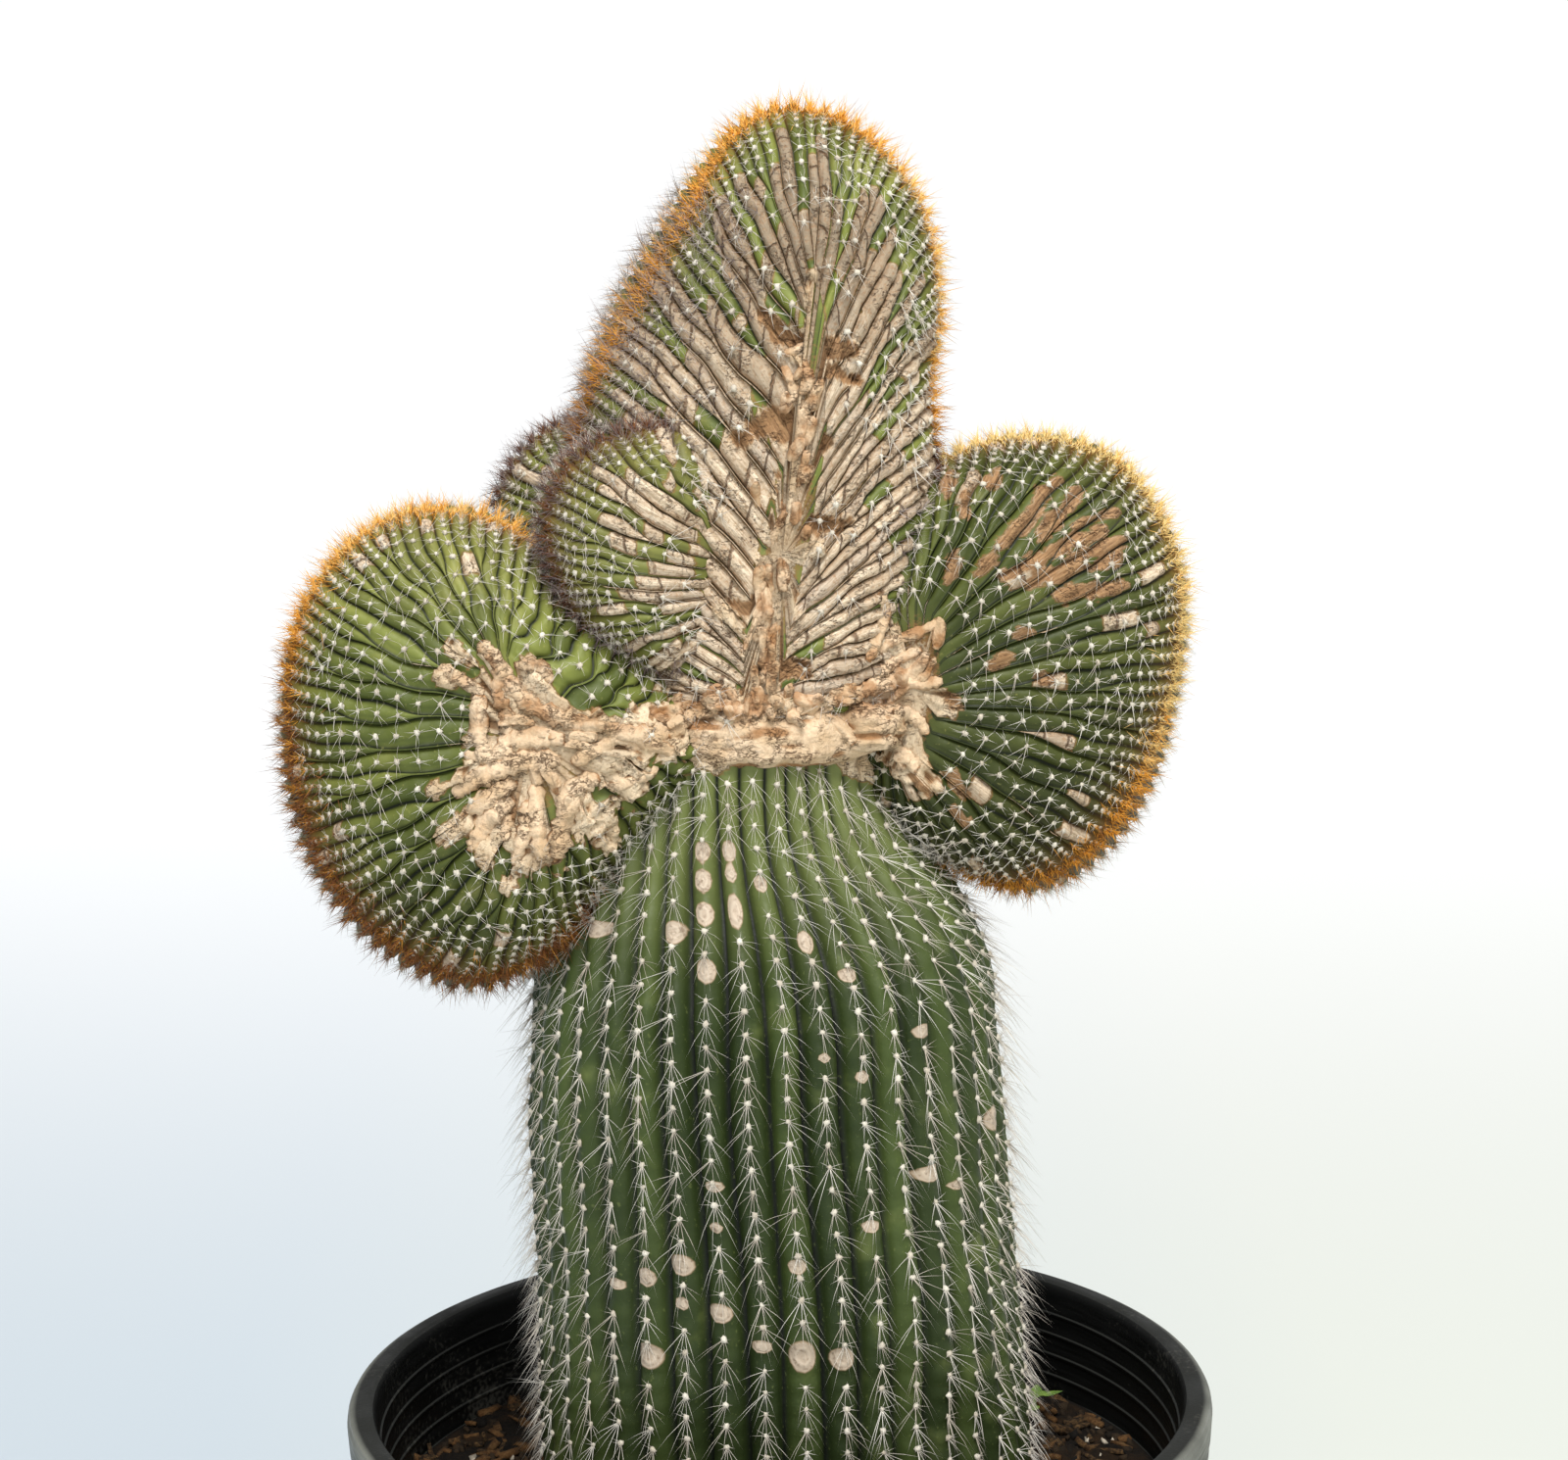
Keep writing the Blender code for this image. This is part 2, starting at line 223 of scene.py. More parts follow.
# %% Floor, world and lights
bpy.ops.object.select_all(action="DESELECT")
bpy.ops.mesh.primitive_plane_add(size=400, location=(0, 0, -0.0005))
floor = bpy.context.object
floor.name = "floor"
paper, tree, shader = new_material("pale_floor", roughness=0.9)
# Far away the floor shines faintly, so that it fades into the white sky; near the pot it is
# bluer on the left and warmer on the right.
far_away = levels(tree, place_on(tree, "Y"), 0.2, 2.6)
near_pot = mix(tree, node(tree, "ShaderNodeMapRange", {0: place_on(tree, "X"), 1: -0.3, 2: 0.3}),
               colour(0.57, 0.65, 0.71), colour(0.74, 0.77, 0.70))
plug(tree, shader, Base_Color=mix(tree, far_away, near_pot, colour(0.97, 0.97, 0.97)),
     Emission_Color=mix(tree, far_away, colour(0, 0, 0), colour(1, 1, 1)))
shader.inputs["Emission Strength"].default_value = 0.2
floor.data.materials.append(paper)

# The sky that the camera sees is white, and the light that it gives is softer.
world = bpy.data.worlds.new("daylight")
world.use_nodes = True
sky = world.node_tree.nodes["Background"]
sky.inputs["Color"].default_value = (0.96, 0.98, 1.0, 1)
seen_sky = node(world.node_tree, "ShaderNodeLightPath", output="Is Camera Ray")
world.node_tree.links.new(node(world.node_tree, "ShaderNodeMapRange",
                               {0: seen_sky, 3: 0.34, 4: 1.05}), sky.inputs["Strength"])
bpy.context.scene.world = world
bpy.context.scene.view_settings.view_transform = "Standard"


def area_light(name, place, target, size, power, tint):
    """A square soft light that looks at a target."""
    data = bpy.data.lights.new(name, "AREA")
    data.size = size
    data.energy = power
    data.color = tint
    lamp = bpy.data.objects.new(name, data)
    bpy.context.scene.collection.objects.link(lamp)
    lamp.location = place
    lamp.rotation_euler = (Vector(target) - Vector(place)).to_track_quat("-Z", "Y").to_euler()


area_light("overhead", (0.25, -0.6, 1.75), (0, 0, 0.5), 0.6, 10, (1.0, 0.985, 0.95))
area_light("window", (-0.25, -1.7, 1.15), (0, 0, 0.5), 0.7, 9, (1.0, 0.99, 0.97))
area_light("side", (1.5, -0.3, 0.8), (0, 0, 0.45), 0.8, 3, (0.97, 0.98, 1.0))
sun = bpy.data.lights.new("high_sun", "SUN")
sun.energy = 2.1
sun.angle = math.radians(22)
sun_lamp = bpy.data.objects.new("high_sun", sun)
bpy.context.scene.collection.objects.link(sun_lamp)
sun_lamp.rotation_euler = (math.radians(34), math.radians(3), 0)


# %% [markdown]
# ## Small helpers for meshes
# Most pieces start as a primitive, which is then shaped. `begin` clears the selection first,
# because an operator acts on everything that is selected. `noise_at` and `fractal_at` give noise
# at many points, and `join_up` makes one piece of several.
# `settle` does what every finished piece needs: smooth shading, its material and the body it
# rides on.

# %% Mesh helpers
def begin():
    """Nothing selected, object mode."""
    if bpy.context.object and bpy.context.object.mode != "OBJECT":
        bpy.ops.object.mode_set(mode="OBJECT")
    bpy.ops.object.select_all(action="DESELECT")


def only(piece):
    """Select one piece and make it the active one."""
    begin()
    piece.select_set(True)
    bpy.context.view_layer.objects.active = piece


def edit_all():
    """Edit mode, with everything selected."""
    bpy.ops.object.mode_set(mode="EDIT")
    bpy.ops.mesh.select_all(action="SELECT")


def object_mode():
    bpy.ops.object.mode_set(mode="OBJECT")


def points_of(piece):
    """The piece's vertices as an array of rows x, y, z."""
    flat = np.empty(len(piece.data.vertices) * 3)
    piece.data.vertices.foreach_get("co", flat)
    return flat.reshape(-1, 3)


def move_points(piece, points):
    """Put the piece's vertices at the rows of an array."""
    piece.data.vertices.foreach_set("co", np.ascontiguousarray(points).ravel())
    piece.data.update()


def face_outwards(piece):
    """Recalculate the normals of a closed piece."""
    only(piece)
    edit_all()
    bpy.ops.mesh.normals_make_consistent(inside=False)
    object_mode()


def noise_at(points, stretch, shift=(0, 0, 0)):
    """Soft noise at each row of points, which are stretched and shifted first."""
    return np.array([noise.noise(Vector(row)) for row in points * stretch + shift])


def fractal_at(points, stretch, rough, octaves, wanted=None, shift=(0, 0, 0)):
    """Layered noise at each row of points; 0 where a row isn't wanted."""
    rows = points.reshape(-1, 3) * stretch + shift
    wanted = np.ones(len(rows)) if wanted is None else wanted.ravel()
    return np.array([noise.fractal(Vector(row), rough, 2.1, octaves) if share > 0.02 else 0.0
                     for row, share in zip(rows, wanted)]).reshape(points.shape[:-1])


def join_up(name, pieces):
    """Make one piece of several, under a new name."""
    begin()
    for piece in pieces:
        piece.select_set(True)
    bpy.context.view_layer.objects.active = pieces[0]
    bpy.ops.object.join()
    pieces[0].name = name
    return pieces[0]


def paint(piece, name, values):
    """Store one number at each vertex, for a material to read."""
    layer = piece.data.attributes.new(name, "FLOAT", "POINT")
    layer.data.foreach_set("value", np.ascontiguousarray(values, dtype=np.float32))


def settle(piece, slot, material, *nodes, crease=None):
    """Finish a piece: shading, material, body and the CAD nodes it stands for; slot is not used."""
    only(piece)
    if crease is None:
        bpy.ops.object.shade_smooth()
    else:
        bpy.ops.object.shade_smooth_by_angle(angle=math.radians(crease))
    piece.data.materials.clear()
    piece.data.materials.append(material)
    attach(piece, "root")
    if nodes:
        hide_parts(*nodes)
    triangles = sum(len(face.vertices) - 2 for face in piece.data.polygons)
    print(piece.name, triangles, "triangles")
    return triangles


# %% [markdown]
# ## Shared surface effects
# Dust gathers where two noises agree, in soft patches with fine specks in them. Cork is broken
# by cracks. A noise passes its middle value along thin winding lines, so the distance from that
# value is small just there, and a second noise closes some of the lines again. Both effects are
# used more than once, so both are groups.

# %% Dust and cork groups
DUST, dust_in, dust_out = new_group("dust", {"Patch": 0.03, "Speck": 0.0012, "Amount": 0.5},
                                    ["Mask"])
patch_scale = maths(DUST, "DIVIDE", 1.0, dust_in.outputs["Patch"])
speck_scale = maths(DUST, "DIVIDE", 1.0, dust_in.outputs["Speck"])
patches = node(DUST, "ShaderNodeTexNoise", {"Vector": here(DUST), "Scale": patch_scale,
                                            "Detail": 4.0})
specks = node(DUST, "ShaderNodeTexNoise", {"Vector": here(DUST), "Scale": speck_scale,
                                           "Detail": 2.0})
both = plus(DUST, times(DUST, patches, 0.6), times(DUST, specks, 0.4))
cut_off = minus(DUST, 0.75, times(DUST, dust_in.outputs["Amount"], 0.4))
DUST.links.new(levels(DUST, both, cut_off, plus(DUST, cut_off, 0.12)), dust_out.inputs["Mask"])

CORK, cork_in, cork_out = new_group("cork", {"Plate": 0.006}, ["Crack", "Grain", "Patch"])
plate_scale = maths(CORK, "DIVIDE", 1.0, cork_in.outputs["Plate"])
flat_place = node(CORK, "ShaderNodeMapping", {"Vector": here(CORK), "Scale": (1.0, 1.0, 1.9)})
veins = node(CORK, "ShaderNodeTexNoise",
             {"Vector": flat_place, "Scale": plate_scale, "Detail": 5.0, "Roughness": 0.62,
              "Distortion": 0.4})
off_line = maths(CORK, "ABSOLUTE", minus(CORK, veins, 0.5))
thin = levels(CORK, off_line, 0.0, 0.022, 1.0, 0.0)
some = levels(CORK, clouds(CORK, 0.009, 2), 0.42, 0.6)
CORK.links.new(times(CORK, thin, some), cork_out.inputs["Crack"])
CORK.links.new(clouds(CORK, 0.0011, 4.0, rough=0.6), cork_out.inputs["Grain"])
CORK.links.new(clouds(CORK, 0.010, 3.0), cork_out.inputs["Patch"])
print("groups:", [group.name for group in bpy.data.node_groups])


# %% [markdown]
# ## The pot
# A nursery pot is moulded in one go, so it is a turned shape. It could be a profile with a Screw
# modifier. Here it is drawn as by hand: one circle of edges is extruded again and again, each
# time scaled and lifted to the next point of the profile. The thin raised rings inside the wall
# are part of the profile. Drain holes are cut with a Boolean, as in the CAD model.

# %% Turning by extrusion
def turn_profile(name, profile, steps):
    """Extrude a ring of edges along a profile of (radius, height) points and close both ends."""
    begin()
    radius, height = profile[0]
    bpy.ops.mesh.primitive_circle_add(vertices=steps, radius=radius, fill_type="NGON",
                                      location=(0, 0, height))
    piece = bpy.context.object
    piece.name = name
    bpy.ops.object.mode_set(mode="EDIT")
    bpy.ops.mesh.select_mode(type="EDGE")
    bpy.ops.mesh.select_all(action="SELECT")
    for next_radius, next_height in profile[1:]:
        bpy.ops.mesh.extrude_edges_move()
        scale = next_radius / radius
        bpy.ops.transform.resize(value=(scale, scale, 1), center_override=(0, 0, height))
        bpy.ops.transform.translate(value=(0, 0, next_height - height))
        radius, height = next_radius, next_height
    bpy.ops.mesh.edge_face_add()
    object_mode()
    bpy.ops.object.transform_apply(location=True, rotation=True, scale=True)
    face_outwards(piece)
    return piece


# %% The pot's profile
POT_WALL = 0.0032
POT_FLOOR = 0.0035
BAND_HEIGHT = 0.022
BAND_STEP = 0.007
BASE_RADIUS = 0.1215
RINGS_INSIDE = 6
RING_SPACING = 0.0078
FIRST_RING = 0.0115
wall_top = RIM_RADIUS - BAND_STEP
taper = (wall_top - BASE_RADIUS) / RIM_Z


def inner_wall(height):
    """Radius of the inside of the wall at a height."""
    return wall_top - POT_WALL - taper * (RIM_Z - height)


inside = [(0.02, POT_FLOOR), (inner_wall(POT_FLOOR) - 0.004, POT_FLOOR),
          (inner_wall(0.008), 0.008)]
for index in reversed(range(RINGS_INSIDE)):
    ring_z = RIM_Z - FIRST_RING - index * RING_SPACING
    for offset, proud in ((-1.1, 0.0), (-0.4, 0.55), (0.3, 0.6), (0.7, 0.0)):
        ring_height = ring_z + offset * MM
        inside.append((inner_wall(ring_height) - proud * MM, ring_height))
rim_in = inner_wall(RIM_Z)
# The rounded lip, in mm: out from the wall's inside or from the rim's edge, and below the rim.
rim = [(rim_in + out * MM, RIM_Z - below * MM)
       for out, below in ((0, 4.0), (0.3, 1.8), (1.2, 0.5), (2.6, 0), (4.2, 0.2))]
rim += [(RIM_RADIUS - back * MM, RIM_Z - below * MM)
        for back, below in ((2.6, 0.5), (1.1, 1.3), (0.3, 2.8), (0, 5.0), (0.5, 13.0),
                            (0.9, 13.8), (1.1, 19.0))]
band_foot = RIM_Z - BAND_HEIGHT
outside = [(RIM_RADIUS - 0.0016, band_foot + 0.0006), (RIM_RADIUS - 0.0026, band_foot),
           (wall_top - taper * BAND_HEIGHT + 0.0012, band_foot - 0.0002),
           (wall_top - taper * BAND_HEIGHT, band_foot - 0.0012)]
for share in (0.75, 0.5, 0.25, 0.1):
    outside.append((BASE_RADIUS + taper * band_foot * share, band_foot * share))
outside += [(BASE_RADIUS + 0.0003, 0.0035), (BASE_RADIUS - 0.0006, 0.0012),
            (BASE_RADIUS - 0.0022, 0.0), (0.02, 0.0)]
pot = turn_profile("black_pot", inside + rim + outside, 192)

# %% Drain holes
DRAIN_HOLES = 6
DRAIN_HOLE_RADIUS = 0.0065
DRAIN_HOLE_RING = 0.082
begin()
for index in range(DRAIN_HOLES):
    angle = TURN * (index + 0.5) / DRAIN_HOLES
    bpy.ops.mesh.primitive_cylinder_add(
        vertices=24, radius=DRAIN_HOLE_RADIUS, depth=4 * POT_FLOOR,
        location=(DRAIN_HOLE_RING * math.cos(angle), DRAIN_HOLE_RING * math.sin(angle), 0))
    drill = bpy.context.object
    hole = pot.modifiers.new("drain_hole", "BOOLEAN")
    hole.operation = "DIFFERENCE"
    hole.object = drill
    begin()
    bpy.context.view_layer.objects.active = pot
    bpy.ops.object.modifier_apply(modifier=hole.name)
    bpy.data.objects.remove(drill, do_unlink=True)

# %% [markdown]
# ### Scuffed black plastic
# New polypropylene is nearly black and satin; the black here is darker still, as painted shade
# for the shaded inside of the pot. Years outdoors bleach the outside of the rim band, in clouds
# that noise makes, and leave the lip a little grey where its normal points up. Dust lies over
# both. Fine scratches are a noise stretched round the pot.

# %% Plastic material
plastic, tree, shader = new_material("scuffed_black_plastic", roughness=0.5, specular=0.22)
normal_z = node(tree, "ShaderNodeSeparateXYZ",
                {0: node(tree, "ShaderNodeNewGeometry", output="Normal")}, output="Z")
side_x, side_y, height_z = (place_on(tree, axis) for axis in "XYZ")
looks_up = levels(tree, normal_z, 0.25, 0.95)
near_rim = levels(tree, height_z, RIM_Z - 0.024, RIM_Z - 0.004)
dust = use_group(tree, DUST, "Mask", Patch=0.05, Speck=0.0018, Amount=0.52)
flecks = use_group(tree, DUST, "Mask", Patch=0.006, Speck=0.0009, Amount=0.12)
weathered = times(tree, near_rim, levels(tree, clouds(tree, 0.02, 4), 0.25, 0.7, 0.55, 1))
from_axis = maths(tree, "SQRT", plus(tree, times(tree, side_x, side_x),
                                     times(tree, side_y, side_y)))
outer_face = levels(tree, from_axis, RIM_RADIUS - 0.004, RIM_RADIUS - 0.0012)
greyed = maths(tree, "MAXIMUM", times(tree, looks_up, 0.08), times(tree, weathered, outer_face))
# The black is darker than the plastic's own, as painted shade for the shaded inside of the pot; the
# outside shares it.
base = mix(tree, greyed, colour(0.0026, 0.0028, 0.0026), colour(0.19, 0.195, 0.168))
base = mix(tree, times(tree, dust, 0.22), base, colour(0.16, 0.155, 0.13))
base = mix(tree, times(tree, flecks, 0.7), base, colour(0.42, 0.41, 0.36))
stretched = node(tree, "ShaderNodeMapping", {"Vector": here(tree), "Scale": (1, 1, 18)})
scratches = clouds(tree, 0.02, 5, vector=stretched)
plug(tree, shader, Base_Color=base,
     Roughness=levels(tree, scratches, 0.3, 0.7, 0.36, 0.62),
     Normal=bump(tree, clouds(tree, 0.0011, 3), 0.0002, 0.5))
settle(pot, "pot_plastic", plastic, "pot", crease=32)


# %% [markdown]
# ## Potting mix
# The surface is a low cone that rises towards the stem. A turned solid with many rings gives it
# enough points, and fractal noise lifts and drops them, more in the open ring than at the wall.
# The loose matter on it is made afterwards from a few small models, copied many times.

# %% Mix surface
SOIL_Z = RIM_Z - 0.042
SOIL_SLOPE = 0.08
SOIL_MIDDLE = 0.06               # inside this radius the stem's foot covers the mix
SOIL_RINGS = 34


def soil_height(radius):
    """Height of the mix at a distance from the pot's axis."""
    return SOIL_Z + SOIL_SLOPE * (inner_wall(SOIL_Z) - radius)


soil_wall = inner_wall(SOIL_Z) - 0.0006
soil_profile = [(0.02, MIX_FOOT), (inner_wall(MIX_FOOT) - 0.005, MIX_FOOT),
                (soil_wall, SOIL_Z - 0.012)]
for ring in range(SOIL_RINGS + 1):
    radius = soil_wall - (soil_wall - SOIL_MIDDLE) * ring / SOIL_RINGS
    soil_profile.append((radius, soil_height(radius)))
soil_profile.append((0.02, soil_height(SOIL_MIDDLE)))
soil = turn_profile("potting_mix_surface", soil_profile, 176)
soil_points = points_of(soil)
for row in soil_points:
    radius = math.hypot(row[0], row[1])
    if row[2] > SOIL_Z - 0.004 and radius > SOIL_MIDDLE:
        place = Vector(row)
        lift = noise.fractal(place * 90, 1.0, 2.0, 5) * 0.0028 + noise.noise(place * 22) * 0.003
        calm = min(1.0, (soil_wall - radius) / 0.010 + 0.15)
        row[2] += lift * calm
move_points(soil, soil_points)

# %% Mix material
earth, tree, shader = new_material("potting_mix", roughness=0.95, specular=0.2)
fine = clouds(tree, 0.0016, 6, rough=0.65)
broad = clouds(tree, 0.014, 3)
# The mix is dark brown, and its colours are set darker still as painted shade, for the shade that
# lies over the mix inside the pot.
base = mix(tree, levels(tree, fine, 0.35, 0.7), colour(0.002, 0.0013, 0.0006),
           colour(0.012, 0.007, 0.003))
base = mix(tree, levels(tree, broad, 0.45, 0.75, 0.0, 0.7), base, colour(0.036, 0.017, 0.005))
plug(tree, shader, Base_Color=base, Normal=bump(tree, fine, 0.0016, 0.9))
settle(soil, "potting_mix", earth, "potting_mix")


# %% [markdown]
# ## Copies of a small model
# Spines, wool and grit come in thousands. Each kind is modelled once as by hand, and `copies_of`
# writes one mesh that holds a copy of it at every place. A place is a 4 by 4 matrix. Each copy
# also stores one number, so that a material can give neighbours slightly different colours.

# %% Copying
def copies_of(name, model, places, tones):
    """One mesh with a copy of the model's mesh at every place."""
    source = model.data
    shape = points_of(model)
    corner_count = len(source.loops)
    corners = np.empty(corner_count, dtype=np.int64)
    source.loops.foreach_get("vertex_index", corners)
    starts = np.empty(len(source.polygons), dtype=np.int64)
    source.polygons.foreach_get("loop_start", starts)
    places = np.asarray(places)
    count = len(places)
    moved = np.einsum("mij,nj->mni", places[:, :3, :3], shape) + places[:, None, :3, 3]
    mesh = bpy.data.meshes.new(name)
    mesh.vertices.add(count * len(shape))
    mesh.vertices.foreach_set("co", moved.ravel())
    mesh.loops.add(count * corner_count)
    steps = np.arange(count)[:, None]
    mesh.loops.foreach_set("vertex_index", (corners + steps * len(shape)).ravel())
    mesh.polygons.add(count * len(starts))
    mesh.polygons.foreach_set("loop_start", (starts + steps * corner_count).ravel())
    mesh.update(calc_edges=True)
    mesh.validate()
    piece = bpy.data.objects.new(name, mesh)
    bpy.context.scene.collection.objects.link(piece)
    paint(piece, "tone", np.repeat(np.asarray(tones), len(shape)))
    return piece


def unit(rows):
    """Rows scaled to length one."""
    return rows / np.maximum(np.linalg.norm(rows, axis=-1, keepdims=True), 1e-12)


def frames_on(points, x, z, widths, lengths, twists):
    """Matrices with Z along z, and X turned from x by a twist."""
    turned = np.cos(twists)[:, None] * x + np.sin(twists)[:, None] * np.cross(z, x)
    made = np.zeros((len(z), 4, 4))
    made[:, :3, 0] = turned * np.asarray(widths)[:, None]
    made[:, :3, 1] = np.cross(z, turned) * np.asarray(widths)[:, None]
    made[:, :3, 2] = z * np.asarray(lengths)[:, None]
    made[:, :3, 3] = points
    made[:, 3, 3] = 1.0
    return made


def frames_at(points, directions, widths, lengths, twists):
    """Matrices that stand a model's Z axis along each direction."""
    z = unit(np.asarray(directions))
    helper = np.where(np.abs(z[:, 2:3]) < 0.9, [[0.0, 0.0, 1.0]], [[1.0, 0.0, 0.0]])
    return frames_on(points, unit(np.cross(helper, z)), z, widths, lengths, twists)


# %% [markdown]
# ## Grit, bark shreds and chips on the mix
# Grit starts as a ball of twenty faces whose points are pushed about, which gives broken grains.
# A shred is a long block that is pinched, skewed and bent. Both are scattered over the ring of
# open mix with a fixed seed, so the result is the same at every run.

# %% Grit and shreds
def rough_ball(name, amount, seed):
    """A ball of twenty faces with its points pushed about."""
    begin()
    bpy.ops.mesh.primitive_ico_sphere_add(subdivisions=1, radius=1.0)
    ball = bpy.context.object
    ball.name = name
    edit_all()
    bpy.ops.transform.vertex_random(offset=amount, uniform=1.0, normal=0.0, seed=seed)
    object_mode()
    return ball


def bark_shred(name):
    """A block stretched to a splinter, with a narrow end and a bend in the middle."""
    begin()
    bpy.ops.mesh.primitive_cube_add(size=1.0)
    shred = bpy.context.object
    shred.name = name
    edit_all()
    bpy.ops.mesh.bisect(plane_co=(0, 0, 0.05), plane_no=(0, 0, 1))
    bpy.ops.mesh.select_all(action="SELECT")
    bpy.ops.transform.vertex_random(offset=0.16, seed=5)
    object_mode()
    points = points_of(shred)
    points[:, :2] *= (1.0 - 0.45 * np.abs(points[:, 2:3]))
    points[:, 0] += 0.5 * points[:, 2] ** 2
    move_points(shred, points)
    return shred


random = np.random.default_rng(11)
STEM_FOOT = 0.087


def on_the_mix(count, near=0.0, far=1.0):
    """Random places on the open ring of mix, as rows."""
    angles = random.uniform(0, TURN, count)
    shares = random.uniform(near, far, count)
    radii = STEM_FOOT + shares * (soil_wall - 0.002 - STEM_FOOT)
    return np.stack([radii * np.cos(angles), radii * np.sin(angles),
                     [soil_height(radius) for radius in radii]], axis=1)


grit_model = rough_ball("grit_model", 0.45, 3)
GRIT_COUNT = 1500
grit_sizes = random.uniform(0.0007, 0.0024, GRIT_COUNT)
grit = copies_of("grit", grit_model,
                 frames_at(on_the_mix(GRIT_COUNT), random.normal(0, 1, (GRIT_COUNT, 3)),
                           grit_sizes, grit_sizes * random.uniform(0.6, 1.2, GRIT_COUNT),
                           random.uniform(0, TURN, GRIT_COUNT)), random.random(GRIT_COUNT))
shred_model = bark_shred("shred_model")
SHRED_COUNT = 620
lying = random.normal(0, 1, (SHRED_COUNT, 3)) * [1, 1, 0.28]
shred_widths = random.uniform(0.0012, 0.0034, SHRED_COUNT)
shreds = copies_of("bark_shreds", shred_model,
                   frames_at(on_the_mix(SHRED_COUNT) + [0, 0, 0.001], lying, shred_widths,
                             random.uniform(0.004, 0.011, SHRED_COUNT),
                             random.uniform(0, TURN, SHRED_COUNT)), random.random(SHRED_COUNT))

# %% Bark and grit materials
bark, tree, shader = new_material("orange_bark", roughness=0.9, specular=0.25)
tone = stored(tree, "tone")
fibres = clouds(tree, 0.0015, 5, rough=0.6)
base = mix(tree, levels(tree, tone, 0.0, 1.0), colour(0.006, 0.003, 0.001),
           colour(0.070, 0.030, 0.008))
base = mix(tree, levels(tree, fibres, 0.35, 0.75, 0.0, 0.6), base, colour(0.17, 0.095, 0.035))
plug(tree, shader, Base_Color=base, Normal=bump(tree, fibres, 0.0007, 0.8))

stones, tree, shader = new_material("grit", roughness=0.9, specular=0.25)
tone = stored(tree, "tone")
base = mix(tree, levels(tree, tone, 0.1, 0.7), colour(0.003, 0.002, 0.001),
           colour(0.024, 0.014, 0.006))
base = mix(tree, levels(tree, tone, 0.93, 0.97), base, colour(0.42, 0.37, 0.29))
plug(tree, shader, Base_Color=base, Normal=bump(tree, clouds(tree, 0.0009, 4), 0.0004, 0.7))
settle(grit, "potting_mix", stones, "potting_mix")
settle(shreds, "bark", bark, "potting_mix")
for model in (grit_model, shred_model):
    bpy.data.objects.remove(model, do_unlink=True)


# %% [markdown]
# ### The seven large chips
# These are pieces of their own in the CAD model. Each one here starts as a copy of its CAD node,
# so it lies exactly where the node does. The copy's loose triangles are merged, subdivided and
# then weathered with noise along their normals: layers along the grain, and broken ends.

# %% Refining a CAD node's copy
def refined_copy(node_name, name, cuts):
    """A merged and subdivided copy of a CAD node, ready to be shaped."""
    source = frame["nodes"][node_name]
    piece = source.copy()
    piece.data = source.data.copy()
    piece.name = name
    piece.parent = None
    piece.matrix_world = source.matrix_world
    bpy.context.scene.collection.objects.link(piece)
    only(piece)
    bpy.ops.object.transform_apply(location=True, rotation=True, scale=True)
    edit_all()
    bpy.ops.mesh.remove_doubles(threshold=0.00005)
    bpy.ops.mesh.tris_convert_to_quads()
    if cuts:
        bpy.ops.mesh.subdivide(number_cuts=cuts)
    object_mode()
    for attribute in [a.name for a in piece.data.attributes if a.name.startswith("custom")]:
        piece.data.attributes.remove(piece.data.attributes[attribute])
    return piece


for number in range(1, 8):
    chip = refined_copy(f"bark_chip_{number}", f"chip_{number}", 5)
    points = points_of(chip)
    normals = np.array([vert.normal[:] for vert in chip.data.vertices])
    layered = noise_at(points, (160, 160, 900), (0, 0, number))
    broad = noise_at(points, 260, (number, 0, 0))
    move_points(chip, points + normals * (layered * 0.0003 + broad * 0.0007 - 0.0004)[:, None])
    paint(chip, "tone", np.full(len(points), 0.45 + 0.07 * number))
    settle(chip, "bark", bark, f"bark_chip_{number}")


# %% [markdown]
# ### The weed
# A seedling grows at the right of the stem. Its leaves are the CAD leaves with a finer mesh: the
# surface waves, and the edge curls up a little. The leaf material shows paler flecks, which a
# fine noise makes, and the stalk is the CAD stalk with a slight wobble.

# %% Weed leaves and stalk
leaf_green, tree, shader = new_material("weed_leaf", roughness=0.5, specular=0.4)
flecks = clouds(tree, 0.0012, 2)
base = mix(tree, levels(tree, clouds(tree, 0.004, 3), 0.3, 0.7), colour(0.07, 0.15, 0.02),
           colour(0.22, 0.34, 0.06))
base = mix(tree, levels(tree, flecks, 0.5, 0.8, 0.0, 0.5), base, colour(0.40, 0.48, 0.16))
plug(tree, shader, Base_Color=base, Normal=bump(tree, flecks, 0.0002, 0.6))
for number in range(1, 5):
    leaf = refined_copy(f"weed_leaf_{number}", f"leaf_{number}", 2)
    points = points_of(leaf)
    centre = points.mean(axis=0)
    reach = np.linalg.norm((points - centre)[:, :2], axis=1)
    points[:, 2] += noise_at(points, 420) * 0.0005 + (reach / reach.max()) ** 2 * 0.0006
    move_points(leaf, points)
    settle(leaf, "weed_leaf", leaf_green, f"weed_leaf_{number}")
stalk = refined_copy("weed_stalk", "stalk", 3)
points = points_of(stalk)
points[:, 0] += noise_at(points, (0, 0, 300)) * 0.0003
move_points(stalk, points)
settle(stalk, "weed_leaf", leaf_green, "weed_stalk")

# %% [markdown]
# ## Ribbed skins
# The column and the crests are one kind of surface: a smooth body whose skin is folded into ribs.
# A crest is like a filled-in arch. Its ribs start at the woody seam and run out to the growing
# edge, and where they spread apart new ribs squeeze in between. They could be sculpted, but
# hundreds of ribs would take hundreds of strokes. Instead, a sphere is added whose rings and
# segments become the rows and columns of the skin, and every vertex is moved to its place.
# - `base` gives the smooth body at a turn (0 to 1 round the edge) and a polar angle.
# - Each rib has a weight at each row, so a rib with a growing weight is a rib that squeezes in.
# - Six columns make one rib: a narrow groove with steep sides, and a rounded back.

